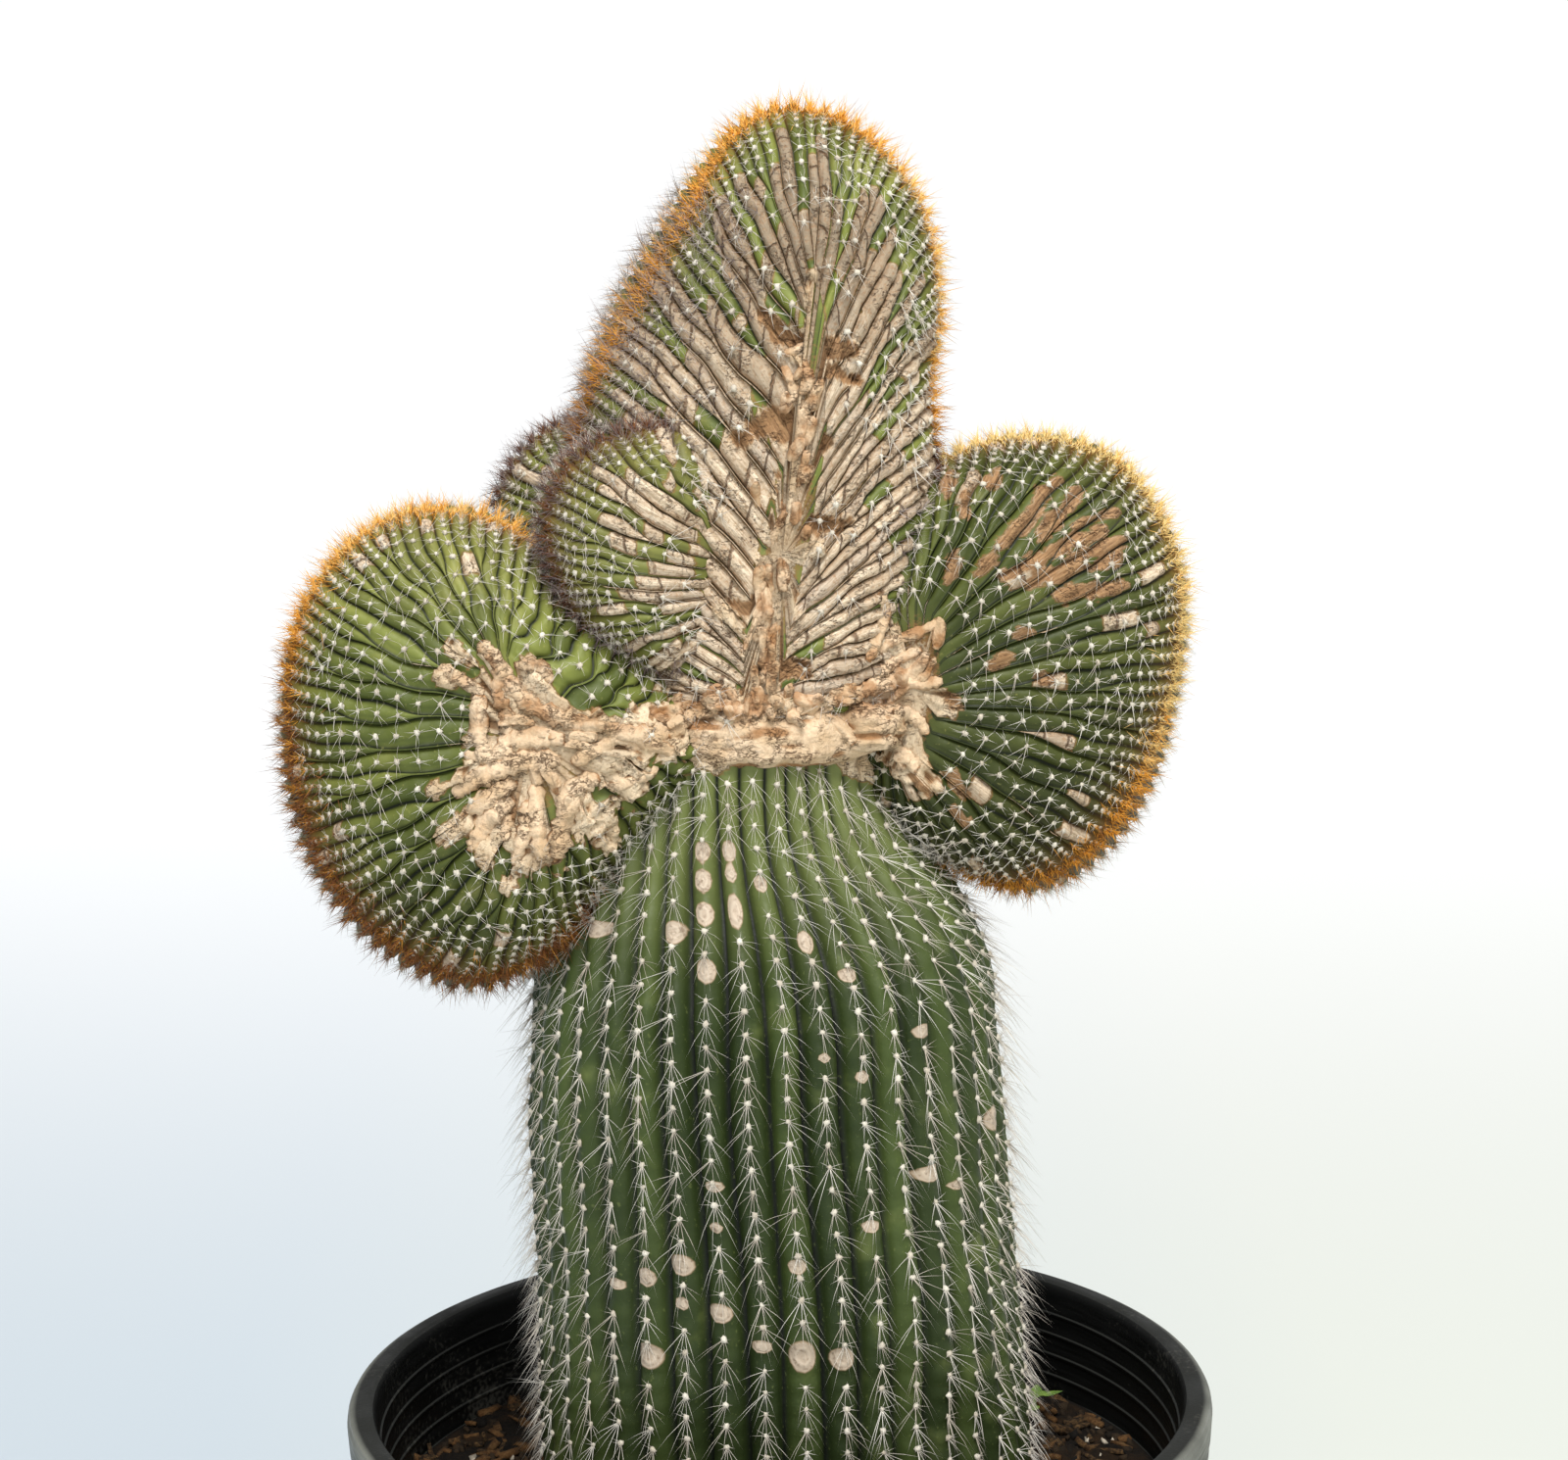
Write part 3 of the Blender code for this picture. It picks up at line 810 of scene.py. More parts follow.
# %% Curves
def smooth_loop(rows, place):
    """Catmull-Rom curve through the rows of a closed loop, at places counted in rows."""
    rows = np.asarray(rows, dtype=float)
    start = np.floor(place).astype(int)
    share = (place - start)[..., None]
    before, here_, after, beyond = (rows[(start + step) % len(rows)] for step in (-1, 0, 1, 2))
    return 0.5 * (2 * here_ + (after - before) * share
                  + (2 * before - 5 * here_ + 4 * after - beyond) * share ** 2
                  + (3 * here_ - before - 3 * after + beyond) * share ** 3)


def run_along(points):
    """How far each point lies along a line of points."""
    steps = np.linalg.norm(np.diff(points, axis=0), axis=1)
    return np.concatenate([[0], np.cumsum(steps)])


def ease(low, high, value):
    """0 below low, 1 above high, smooth between."""
    share = np.clip((value - low) / (high - low), 0, 1)
    return share * share * (3 - 2 * share)


def ripple(points, size, seed):
    """Cheap smooth noise between about -1 and 1, with blobs of a size in metres."""
    dice = np.random.default_rng(seed)
    total = np.zeros(points.shape[:-1])
    for _ in range(7):
        wave = dice.normal(0, 1, 3)
        wave *= dice.uniform(0.6, 1.5) * math.pi / size / np.linalg.norm(wave)
        total += np.sin(points @ wave + dice.uniform(0, TURN))
    return total / 2.6


# %% The skin of one ribbed body
RIB_COLUMNS = np.array([0.0, 0.12, 0.31, 0.5, 0.69, 0.88])
PER_RIB = len(RIB_COLUMNS)
RIB_BACK = 3                     # the column on the middle of a rib's back
RIB_PROFILE = (1 - np.abs(2 * RIB_COLUMNS - 1) ** 2.6) ** 0.75


def ribbed_skin(name, base, polar, weights, grow_line, depth_share, depth_limit, areole_gaps,
                tip_fade, seed, turn_noise=0.0, calm=None, lumps=0.0):
    """Build a ribbed skin and return everything that later steps measure on it."""
    dice = np.random.default_rng(seed)
    rows, ribs = weights.shape
    width = weights / weights.sum(axis=1, keepdims=True)
    start = np.cumsum(width, axis=1) - width
    middle = rows // 2
    start -= (start - start[middle]).mean(axis=1, keepdims=True)
    turn = (start[:, :, None] + width[:, :, None] * RIB_COLUMNS).reshape(rows, -1)
    if turn_noise:
        # Each groove wanders a little, and the columns between two grooves follow both.
        down = np.arange(rows) / (rows - 1) * 5.0
        drift = np.array([smooth_loop(dice.normal(0, 1, (8, 1)), down)
                          for _ in range(ribs)])[:, :, 0].T
        drift = np.clip(drift, -2, 2) * np.minimum(width, np.roll(width, 1, axis=1)) * turn_noise
        after = np.roll(drift, -1, axis=1)
        turn = turn + (drift[:, :, None] * (1 - RIB_COLUMNS)
                       + after[:, :, None] * RIB_COLUMNS).reshape(rows, -1)
    points = base(turn, polar[:, None])
    across = np.linalg.norm(np.roll(points, -PER_RIB, axis=1) - points, axis=2)
    rib_width = np.repeat(across[:, ::PER_RIB], PER_RIB, axis=1)
    # The normals come from points a whole rib away, so that they don't jump at a groove.
    normals = unit(np.cross(np.roll(points, -PER_RIB, axis=1) - np.roll(points, PER_RIB, axis=1),
                            np.gradient(points, axis=0)))
    if np.sum(normals * (points - points.mean(axis=(0, 1)))) < 0:
        normals = -normals
    steps = np.linalg.norm(np.diff(points, axis=0), axis=2)
    run = np.vstack([np.zeros((1, steps.shape[1])), np.cumsum(steps, axis=0)])
    lines = grow_line(turn[middle])
    at_line = np.array([np.interp(lines[c], polar, run[:, c]) for c in range(run.shape[1])])
    distance = run - at_line
    near_gap, far_gap, gap_range = areole_gaps
    track = np.linspace(0, 1.0, 4001)
    gaps = near_gap + (far_gap - near_gap) * ease(0, gap_range, track)
    count = np.concatenate([[0], np.cumsum(np.diff(track) / gaps[1:])])
    phase = np.sign(distance) * np.interp(np.abs(distance), track, count)
    phase += np.repeat(dice.random(ribs), PER_RIB)
    profile = np.tile(RIB_PROFILE, ribs)[None, :]
    pole_fade = ease(0.015, 0.07, np.sin(polar))[:, None]
    tip = 1 - tip_fade * (1 - ease(0, 0.010, np.abs(distance)))
    depth = np.minimum(rib_width * depth_share, depth_limit) * pole_fade * tip
    if calm is not None:
        depth = depth * calm(points)
    knob = (0.5 + 0.5 * np.cos(TURN * phase)) ** 2 * profile
    lift = knob * np.minimum(0.0005, rib_width * 0.07) * pole_fade
    lift += ripple(points, 0.045, seed) * 0.0010 + ripple(points, 0.013, seed + 1) * 0.0003
    if lumps:
        lift += lumps * ripple(points, 0.006, seed + 2) * pole_fade
    surface = points + normals * (lift - depth * (1 - profile))[:, :, None]
    return {"name": name, "points": surface, "normals": normals, "polar": polar,
            "distance": distance, "run": run, "phase": phase, "ribs": ribs, "turn": turn,
            "groove": depth * (1 - profile), "rib_width": rib_width,
            "profile": np.broadcast_to(profile, distance.shape),
            "tone": np.repeat(dice.random(ribs), PER_RIB)[None, :].repeat(rows, axis=0)}


def skin_mesh(skin, attributes):
    """Turn the grid into a mesh: a sphere is added and its vertices are moved into place."""
    points = skin["points"]
    rows, columns = points.shape[:2]
    begin()
    bpy.ops.mesh.primitive_uv_sphere_add(segments=columns, ring_count=rows + 1, radius=1.0)
    piece = bpy.context.object
    piece.name = skin["name"] + "_skin"
    ball = points_of(piece)
    ring = np.rint(np.arccos(np.clip(ball[:, 2], -1, 1)) / math.pi * (rows + 1)).astype(int)
    column = np.rint(np.arctan2(ball[:, 1], ball[:, 0]) / TURN * columns).astype(int) % columns
    top, bottom = ring == 0, ring == rows + 1
    row = np.clip(ring - 1, 0, rows - 1)
    placed = points[row, column]
    placed[top] = points[0].mean(axis=0)
    placed[bottom] = points[-1].mean(axis=0)
    move_points(piece, placed)
    for key, grid in attributes.items():
        paint(piece, key, np.broadcast_to(grid, points.shape[:2])[row, column])
    face_outwards(piece)
    return piece


# %% [markdown]
# ## The column
# Rings of the stem give its width, its lean and how deep the ribs are at each height, as in the
# CAD model. Smooth curves through them round the shoulders. Forty ribs run from the buried foot
# to the cork at the crown, with areoles 7.5 mm apart. Old wounds are oval scars on the ribs:
# each vertex stores how far it is from the nearest scar, in half widths of that scar, and the
# material draws its rings.

# %% Column design
STEM_RADIUS = 0.084
STEM_HEIGHT = CROWN_Z - SOIL_Z
RIB_COUNT = 40
RIB_SPACING = 0.013
RIB_TURN = math.radians(-93.4)
# Each ring: height and radius as shares of the stem's, lean to the side in m, depth of the ribs.
STEM_RINGS = np.array([
    (1.030, 0.40, -0.010, 0.0), (1.000, 0.575, -0.010, 0.12), (0.965, 0.60, -0.011, 0.45),
    (0.910, 0.635, -0.011, 0.8), (0.855, 0.71, -0.010, 1.0), (0.790, 0.825, -0.007, 1.0),
    (0.730, 0.905, -0.005, 1.0), (0.670, 0.955, -0.004, 1.0), (0.550, 0.972, -0.003, 1.0),
    (0.290, 1.005, 0.000, 1.0), (0.000, 1.035, 0.002, 1.0), (-0.100, 0.99, 0.002, 0.6),
    (-0.215, 0.82, 0.002, 0.3), (-0.300, 0.50, 0.002, 0.0)])


def stem_value(column, height):
    """A ring's value at a height, given as a share of the stem's height."""
    table = STEM_RINGS[::-1]
    value = np.interp(height, table[:, 0], table[:, column])
    for shift in (0.012, 0.024):
        value = value + (np.interp(height + shift, table[:, 0], table[:, column])
                         + np.interp(height - shift, table[:, 0], table[:, column]))
    return value / 5


STEM_BURIED = 0.095
stem_top = STEM_HEIGHT + CROWN_RISE - 0.004
STEM_ROWS = 190
stem_heights = np.concatenate([
    stem_top - (stem_top - 0.97 * STEM_HEIGHT) * np.linspace(0.02, 1, 16, endpoint=False),
    np.linspace(0.97 * STEM_HEIGHT, -0.012, STEM_ROWS - 34),
    np.linspace(-0.016, -STEM_BURIED + 0.004, 18)])
stem_polar = np.linspace(0, math.pi, STEM_ROWS + 2)[1:-1]


def stem_body(turn, polar):
    """The smooth stem without its ribs."""
    height = np.interp(polar, stem_polar, stem_heights)
    share = height / STEM_HEIGHT
    radius = STEM_RADIUS * stem_value(1, share)
    dome = np.sqrt(np.clip((stem_top + 0.001 - height) / (stem_top - 0.985 * STEM_HEIGHT), 0, 1))
    foot = np.sqrt(np.clip((height + STEM_BURIED) / 0.030, 0, 1))
    radius = radius * np.where(share > 0.985, dome, 1.0) * foot
    angle = RIB_TURN - math.pi / RIB_COUNT + TURN * turn
    return np.stack(np.broadcast_arrays(radius * np.cos(angle) + stem_value(2, share),
                                        radius * np.sin(angle), SOIL_Z + height), axis=-1)


def stem_calm(points):
    """Ribs fade into the cork at the crown and at the foot."""
    share = (points[..., 2] - SOIL_Z) / STEM_HEIGHT
    return stem_value(3, share)


stem = ribbed_skin("column", stem_body, stem_polar, np.ones((STEM_ROWS, RIB_COUNT)),
                   lambda turn: np.full(len(turn), stem_polar[8]), 0.62, 0.0072,
                   (0.0066, 0.0076, 0.05), 0.0, 21, turn_noise=0.05, calm=stem_calm)

# %% Column scars
# Each scar: which way it faces in degrees from the front, its height above the mix in mm, and
# half its width and height in mm. Nearly all lie on the middle of a rib.
SCARS = [
    (-12.4, 251, 3.0, 3.4), (-12.4, 242, 3.0, 3.9), (-12.4, 232, 3.1, 3.8), (-3.4, 251, 2.7, 3.6),
    (-3.4, 244, 2.2, 2.6), (-3.4, 233, 2.4, 5.6), (5.6, 241, 2.3, 2.8), (-21.4, 226, 3.4, 3.7),
    (-12.4, 215, 2.8, 4.2), (-48.4, 223, 4.4, 3.0), (14.6, 223, 2.3, 3.6), (23.6, 212, 2.6, 2.4),
    (41.6, 190, 2.9, 2.6), (14.6, 187, 1.7, 1.9), (23.6, 179, 1.9, 2.3), (41.6, 141, 4.4, 3.0),
    (50.6, 134, 3.1, 2.0), (-12.4, 144, 2.6, 2.1), (-12.4, 130, 1.8, 2.0), (23.6, 128, 2.4, 2.3),
    (-21.4, 116, 3.5, 3.8), (-30.4, 110, 2.7, 3.4), (-39.4, 105, 2.8, 2.0), (-12.4, 101, 3.2, 3.4),
    (5.6, 117, 2.3, 2.9), (-21.4, 103, 1.9, 2.4), (-3.4, 90, 2.6, 2.4), (5.6, 86, 3.3, 6.0),
    (14.6, 84, 3.0, 4.3), (-30.4, 83, 3.6, 4.8), (68.6, 150, 3.6, 4.6), (122.6, 190, 3.4, 4.4),
    (149.6, 90, 3.6, 4.4), (-102.4, 130, 3.4, 4.8), (-138.4, 170, 3.2, 4.4),
    (176.6, 140, 3.4, 4.8), (-165.4, 70, 3.0, 3.6), (95.6, 60, 3.2, 4.6)]
SCAR_WIDENING = 1.35
SCAR_RADIUS = 0.080              # the radius at which an angle is turned into a width
stem_height = stem["points"][..., 2] - SOIL_Z
stem_angle = np.arctan2(stem["points"][..., 0] - stem_value(2, stem_height / STEM_HEIGHT),
                        -stem["points"][..., 1])
FAR_OFF = 9.0
scar = np.full(stem_angle.shape, FAR_OFF)
for facing, height, half_width, half_height in SCARS:
    turn_gap = (stem_angle - math.radians(facing) + math.pi) % TURN - math.pi
    sideways = turn_gap * SCAR_RADIUS / (SCAR_WIDENING * half_width * MM)
    upwards = (stem_height - height * MM) / (half_height * MM)
    scar = np.minimum(scar, np.hypot(sideways, upwards))
scarred = 1 - ease(0.85, 1.1, scar)
stem["points"] = stem["points"] + stem["normals"] * (scarred * stem["profile"] * 0.0004
                                                    * (1 - 1.4 * ease(0.75, 0.2, scar)))[..., None]

# The cork's lower edge at the crown, in degrees from the front and mm below the crown.
CORK_EDGE = np.array([(-180, -6), (-110, -10), (-75, -30), (-55, -22), (-40, -15), (-15, -9.5),
                      (5, -7.5), (40, -8), (60, -20), (90, -16), (180, -6)], dtype=float)
edge_height = np.interp(np.degrees(stem_angle), CORK_EDGE[:, 0], CORK_EDGE[:, 1]) * MM
ragged = ripple(stem["points"], 0.007, 5) * 0.0022
stem_cork = ease(-0.0012, 0.0012, stem["points"][..., 2] - CROWN_Z - edge_height + ragged)
rough = fractal_at(stem["points"], 130, 0.9, 5, stem_cork)
stem["points"] = stem["points"] + stem["normals"] * (
    stem_cork * (0.0016 + 0.0014 * rough))[..., None]
column = skin_mesh(stem, {
    "cork": stem_cork, "ridge": stem["profile"], "scar": scar, "tone": stem["tone"],
    # Painted shade and light: dark darkens the column towards the mix, and pale makes the shoulder
    # below the crown lighter and yellower.
    "young": 0.0, "wood": 0.0, "rust": 0.0, "dark": 0.35 * ease(0.12, 0.0, stem_height),
    "pale": 0.9 * ease(-0.09, -0.01, stem["points"][..., 2] - CROWN_Z),
    "along": stem["run"], "across": stem["turn"] * RIB_COUNT * RIB_SPACING})
stem["piece"] = column
stem["cork"] = np.maximum(stem_cork, scarred)
print("scars", len(SCARS))


# %% [markdown]
# ## The crests
# Each crest is drawn by its growing edge, as seen from the front, in mm from the crown. For
# each point of the edge there is also a root, where the rib that ends there starts, and a tilt,
# in degrees, by which the growing line is turned towards the front. `bend` curves the ribs on
# their way. The rest is as in the CAD model: the body bulges to its full thickness at the seam
# and is thin at the edge. `thickness` and `depth` are given in metres, for the foot and the top.

# %% Crest designs
CRESTS = {
    "centre_crest": {
        "edge": [(8, 203), (31, 196), (50, 175), (58, 146), (56, 112), (57, 86), (51, 45), (40, 4),
                 (-2, -16), (-46, 14), (-64, 76), (-61, 110), (-46, 146), (-27, 174), (-11, 195)],
        "root": [(17, 146), (19, 140), (20, 120), (18, 92), (13, 66), (9, 46), (4, 24), (0, 8),
                 (-3, 2), (-7, 8), (-6, 30), (-1, 56), (7, 86), (13, 118), (15, 138)],
        "bend": (0.0, 0.16),
        "tilt": [12, 8, 6, 8, 8, 4, 0, 0, 0, 0, 8, 16, 24, 26, 20],
        "thickness": (0.104, 0.072), "depth": (0.000, 0.004),
        "ribs": 50, "extras": 1, "starts": (0.15, 0.75), "rows": (66, 40), "seed": 31},
    "small_crest": {
        "edge": [(-22, 98), (-44, 101), (-64, 93), (-74, 76), (-71, 54), (-58, 36), (-36, 22),
                 (-8, 22), (6, 42), (0, 76)],
        "root": [(-18, 77), (-20, 73), (-21, 65), (-20, 57), (-18, 49), (-15, 43), (-11, 40),
                 (-8, 43), (-8, 54), (-12, 70)],
        "tilt": [5, 12, 18, 20, 20, 14, 5, 0, 0, 0], "bend": (0.0, 0.06), "sink": 0.034,
        "thickness": (0.060, 0.060), "depth": (-0.034, -0.030),
        "ribs": 26, "extras": 1, "starts": (0.30, 0.80), "rows": (44, 26), "seed": 32},
    "left_crest": {
        "edge": [(-68, 50), (-88, 67), (-114, 73), (-140, 62), (-158, 36), (-163, 0), (-156, -42),
                 (-136, -73), (-104, -89), (-73, -74), (-46, -40), (-18, -8), (-38, 28)],
        "root": [(-81, 27), (-86, 32), (-90, 32), (-91, 26), (-91, 18), (-90, 6), (-88, -8),
                 (-85, -18), (-79, -26), (-71, -23), (-58, -8), (-43, 2), (-60, 11)],
        "tilt": [0, 0, 5, 10, 17, 23, 28, 31, 32, 26, 8, 0, 0], "bend": (0.0, 0.02),
        "thickness": (0.092, 0.084), "depth": (-0.022, -0.014),
        "ribs": 26, "extras": 2, "starts": (0.25, 0.85), "rows": (62, 40), "seed": 33},
    "right_crest": {
        "edge": [(34, 50), (56, 81), (88, 92), (122, 79), (142, 42), (138, -6), (122, -46),
                 (94, -67), (62, -58), (34, -32), (16, 6)],
        "root": [(43, 31), (48, 40), (53, 38), (56, 28), (57, 16), (55, 6), (52, -4), (48, -12),
                 (43, -15), (38, -7), (37, 11)],
        "tilt": [0, 0, 2, 6, 12, 21, 28, 29, 16, 0, 0], "bend": (0.02, 0.07),
        "thickness": (0.088, 0.080), "depth": (0.014, 0.008),
        "ribs": 26, "extras": 2, "starts": (0.30, 0.90), "rows": (62, 40), "seed": 34},
    "rear_crest": {
        "edge": [(-46, 92), (-66, 96), (-84, 85), (-92, 66), (-84, 40), (-60, 22), (-30, 30),
                 (-24, 66)],
        "root": [(-48, 76), (-52, 76), (-56, 71), (-56, 63), (-53, 56), (-48, 52), (-44, 58),
                 (-44, 68)],
        "tilt": [0, 4, 8, 8, 4, 0, 0, 0], "bend": (0.0, 0.0),
        "thickness": (0.062, 0.058), "depth": (0.030, 0.026),
        "ribs": 24, "extras": 1, "starts": (0.30, 0.80), "rows": (36, 30), "seed": 35}}
FACE_FULLNESS = 0.80
EDGE_FULLNESS = 0.90


def crest_body(design):
    """The smooth body of a crest, and where its growing line lies, as two functions of turn."""
    edge = np.array(design["edge"], dtype=float) * MM
    root = np.array(design["root"], dtype=float) * MM
    tilt_rows = np.radians(np.array(design["tilt"], dtype=float))[:, None]
    count = len(edge)
    fine = np.linspace(0, count, 1441)
    drawn = smooth_loop(edge, fine)
    run = run_along(drawn)
    design["perimeter"] = run[-1]
    low, high = drawn[:, 1].min(), drawn[:, 1].max()

    def to_place(turn):
        return np.interp(turn % 1.0, run / run[-1], fine)

    def body(turn, polar):
        place_on_edge = to_place(turn)
        rim_, root_ = smooth_loop(edge, place_on_edge), smooth_loop(root, place_on_edge)
        reach = np.sin(polar) ** EDGE_FULLNESS
        facing = np.cos(polar)
        reach = reach[..., None] * np.ones(rim_.shape)
        gap = np.linalg.norm(rim_ - root_, axis=-1, keepdims=True)
        steer = root_ + (rim_ - root_) * 0.5 + gap * np.array(design["bend"])
        place = (1 - reach) ** 2 * root_ + 2 * (1 - reach) * reach * steer + reach ** 2 * rim_
        rise = np.clip((place[..., 1] - low) / (high - low), 0, 1)
        thick = design["thickness"][0] + (design["thickness"][1] - design["thickness"][0]) * rise
        depth = design["depth"][0] + (design["depth"][1] - design["depth"][0]) * rise
        bulge = np.sign(facing) * np.abs(facing) ** FACE_FULLNESS * thick / 2
        depth = depth + design.get("sink", 0.0) * ease(-0.040, -0.004, place[..., 0]) * (facing > 0)
        return np.stack([place[..., 0], depth - bulge, CROWN_Z + place[..., 1]], axis=-1)

    def grow_line(turn):
        return math.pi / 2 - smooth_loop(tilt_rows, to_place(turn))[..., 0]

    return body, grow_line


def polar_rows(front, back, reach, half_thickness):
    """Polar angles that are evenly spaced along a typical meridian."""
    angles = np.linspace(0, math.pi, 2001)
    path = np.stack([reach * np.sin(angles) ** EDGE_FULLNESS,
                     half_thickness * np.sign(np.cos(angles))
                     * np.abs(np.cos(angles)) ** FACE_FULLNESS], 1)
    run = run_along(path)
    middle = run[1000]
    front_rows = np.interp(np.linspace(0, middle, front + 1)[1:], run, angles)
    back_rows = np.interp(np.linspace(middle, run[-1], back + 2)[1:-1], run, angles)
    return np.concatenate([front_rows, back_rows])


def rib_weights(design, polar, dice):
    """Base ribs keep their full weight; extra ones between them grow in as the fan spreads."""
    group = design["extras"] + 1
    ribs = design["ribs"] * group
    low, high = design["starts"]
    reach = np.sin(polar)[:, None]
    weights = np.ones((len(polar), ribs))
    for index in range(ribs):
        kind = index % group
        if kind:
            span = (high - low) / design["extras"]
            begin_at = low + span * (kind - 1) + (index // group * 0.618) % 1.0 * span
            weights[:, index] = 0.03 + 0.97 * ease(begin_at - 0.10, begin_at + 0.16, reach[:, 0])
    return weights * dice.uniform(0.86, 1.14, ribs)[None, :]


# %% [markdown]
# ### Woody patches
# Old skin turns to cork. On the left crest it is a branching patch in the middle of the fan; on
# the centre crest nearly every rib has turned into a grey-brown stick that breaks across; on the
# right crest long brown streaks lie on some ribs. Strokes are drawn like paint: each is a line
# of points with a radius, in mm from the crown, on the front. The sticks are drawn by chance,
# rib by rib, with the shares and lengths in STICKS.

# %% Cork strokes
STROKES = {
    "left_crest": [[(-90, 33, 4), (-88, 22, 8), (-89, 8, 7), (-86, -6, 9), (-80, -22, 9),
                    (-74, -34, 7)],
                   [(-88, 14, 5), (-74, 12, 5), (-60, 9, 5), (-46, 7, 7), (-34, 4, 9)],
                   [(-86, -2, 6), (-72, -4, 7), (-60, -6, 6), (-48, -10, 8)],
                   [(-80, -10, 9), (-66, -14, 10), (-58, -20, 10), (-56, -30, 6)],
                   [(-84, 24, 4), (-78, 27, 3), (-72, 22, 3)],
                   [(-96, -6, 3), (-102, -10, 2.5), (-108, -12, 2.5)],
                   [(-92, -16, 3.5), (-99, -22, 3), (-106, -28, 2.5)],
                   [(-88, -26, 3.5), (-94, -36, 3)], [(-80, -34, 3), (-84, -44, 3)],
                   [(-96, 30, 3), (-102, 34, 3)], [(-98, 22, 3), (-106, 26, 2.5)]],
    "right_crest": [[(36, 10, 9), (44, 14, 7), (50, 22, 5)], [(44, 8, 6), (56, 8, 4), (62, 6, 3)],
                    [(40, -2, 8), (48, -10, 7), (54, -20, 5)], [(38, 20, 6), (42, 30, 6)],
                    [(42, 30, 5), (52, 34, 3)]],
    "centre_crest": [[(-4, 4, 12), (-4, 16, 8), (-3, 24, 4)], [(6, 98, 5), (14, 99, 5)],
                     [(10, 124, 2.5), (22, 124, 2.5)], [(2, 60, 3), (16, 62, 3)],
                     [(-12, 42, 4), (8, 43, 4)],
                     [(-3, 24, 4), (0, 44, 4), (6, 66, 4), (10, 90, 4), (14, 112, 3.5), (16, 136, 3),
                      (16, 150, 2)]],
    "small_crest": [[(-10, 40, 6), (-13, 52, 4), (-14, 64, 3)]],
    "rear_crest": []}

# Rust-coloured places: torn ledges across the centre crest's seam, and long streaks on the
# right crest.
RUST = {
    "centre_crest": [[(0, 139, 2.5), (9, 130, 3.5), (17, 127, 4.5), (28, 126, 3)],
                     [(-7, 98, 3.5), (3, 103, 6.0), (12, 102, 6.5), (20, 97, 4)],
                     [(21, 120, 2.5), (31, 116, 2.5)], [(5, 72, 3.5), (24, 70, 4)],
                     [(-8, 44, 3), (8, 46, 3)], [(-2, 22, 3), (12, 24, 3.5)]],
    "right_crest": [[(102, 74, 3), (92, 64, 3.5)],
                    [(96, 79, 2.5), (90, 73, 3), (84, 65, 3.5), (77, 60, 3)],
                    [(111, 63, 2.5), (97, 58, 3.2), (88, 54, 3.2), (79, 50, 2.5)],
                    [(118, 59, 2.5), (103, 55, 3), (88, 48, 2.5)],
                    [(117, 53, 2.5), (105, 51, 2.6), (94, 48, 2)],
                    [(120, 44, 2.5), (108, 44, 3), (97, 43, 2.5)], [(116, 69, 2), (103, 65, 2)],
                    [(62, 57, 2.4), (60, 51, 2.4)], [(70, 52, 2.4), (75, 57, 2.4)],
                    [(61, 81, 2.4), (60, 75, 2.4)], [(77, 82, 2.2), (74, 79, 2.2)],
                    [(66, 75, 2.2), (66, 71, 2.2)], [(74, 20, 2), (80, 22, 2)],
                    [(91, 14, 2), (95, 14, 2)], [(61, -17, 2.4), (65, -24, 2.4)],
                    [(62, -30, 2), (65, -34, 2)], [(48, -16, 2.4), (52, -22, 2.4)],
                    [(84, 30, 2), (88, 31, 2)]]}

# For each crest: the share of ribs with a stick, and its shortest and longest end in metres from
# the seam.
STICKS = {"centre_crest": (0.90, 0.040, 0.100), "small_crest": (0.8, 0.02, 0.05),
          "left_crest": (0.16, 0.0, 0.02), "right_crest": (0.2, 0.0, 0.02),
          "rear_crest": (0.5, 0.01, 0.04)}
# A stick breaks into segments: this many per metre, and more on a rib with a high tone.
SEGMENTS, SEGMENTS_MORE, SEGMENT_SHIFT = 62.0, 55.0, 37.0
SPIN, SALT = 12.9898, 78.233     # a sine of numbers spun by these looks random


def stroke_mask(points, strokes):
    """How deep each point lies in the strokes: 1 on a line, 0 at its radius, negative outside."""
    flat = points[..., [0, 2]] - [0, CROWN_Z]
    best = np.full(points.shape[:-1], -FAR_OFF)
    for line in strokes:
        line = np.array(line, dtype=float) * MM
        for first, second in zip(line[:-1], line[1:]):
            step = second[:2] - first[:2]
            share = np.clip(((flat - first[:2]) @ step) / (step @ step), 0, 1)
            gap = np.linalg.norm(flat - first[:2] - share[..., None] * step, axis=-1)
            best = np.maximum(best, 1 - gap / (first[2] + share * (second[2] - first[2])))
    return best


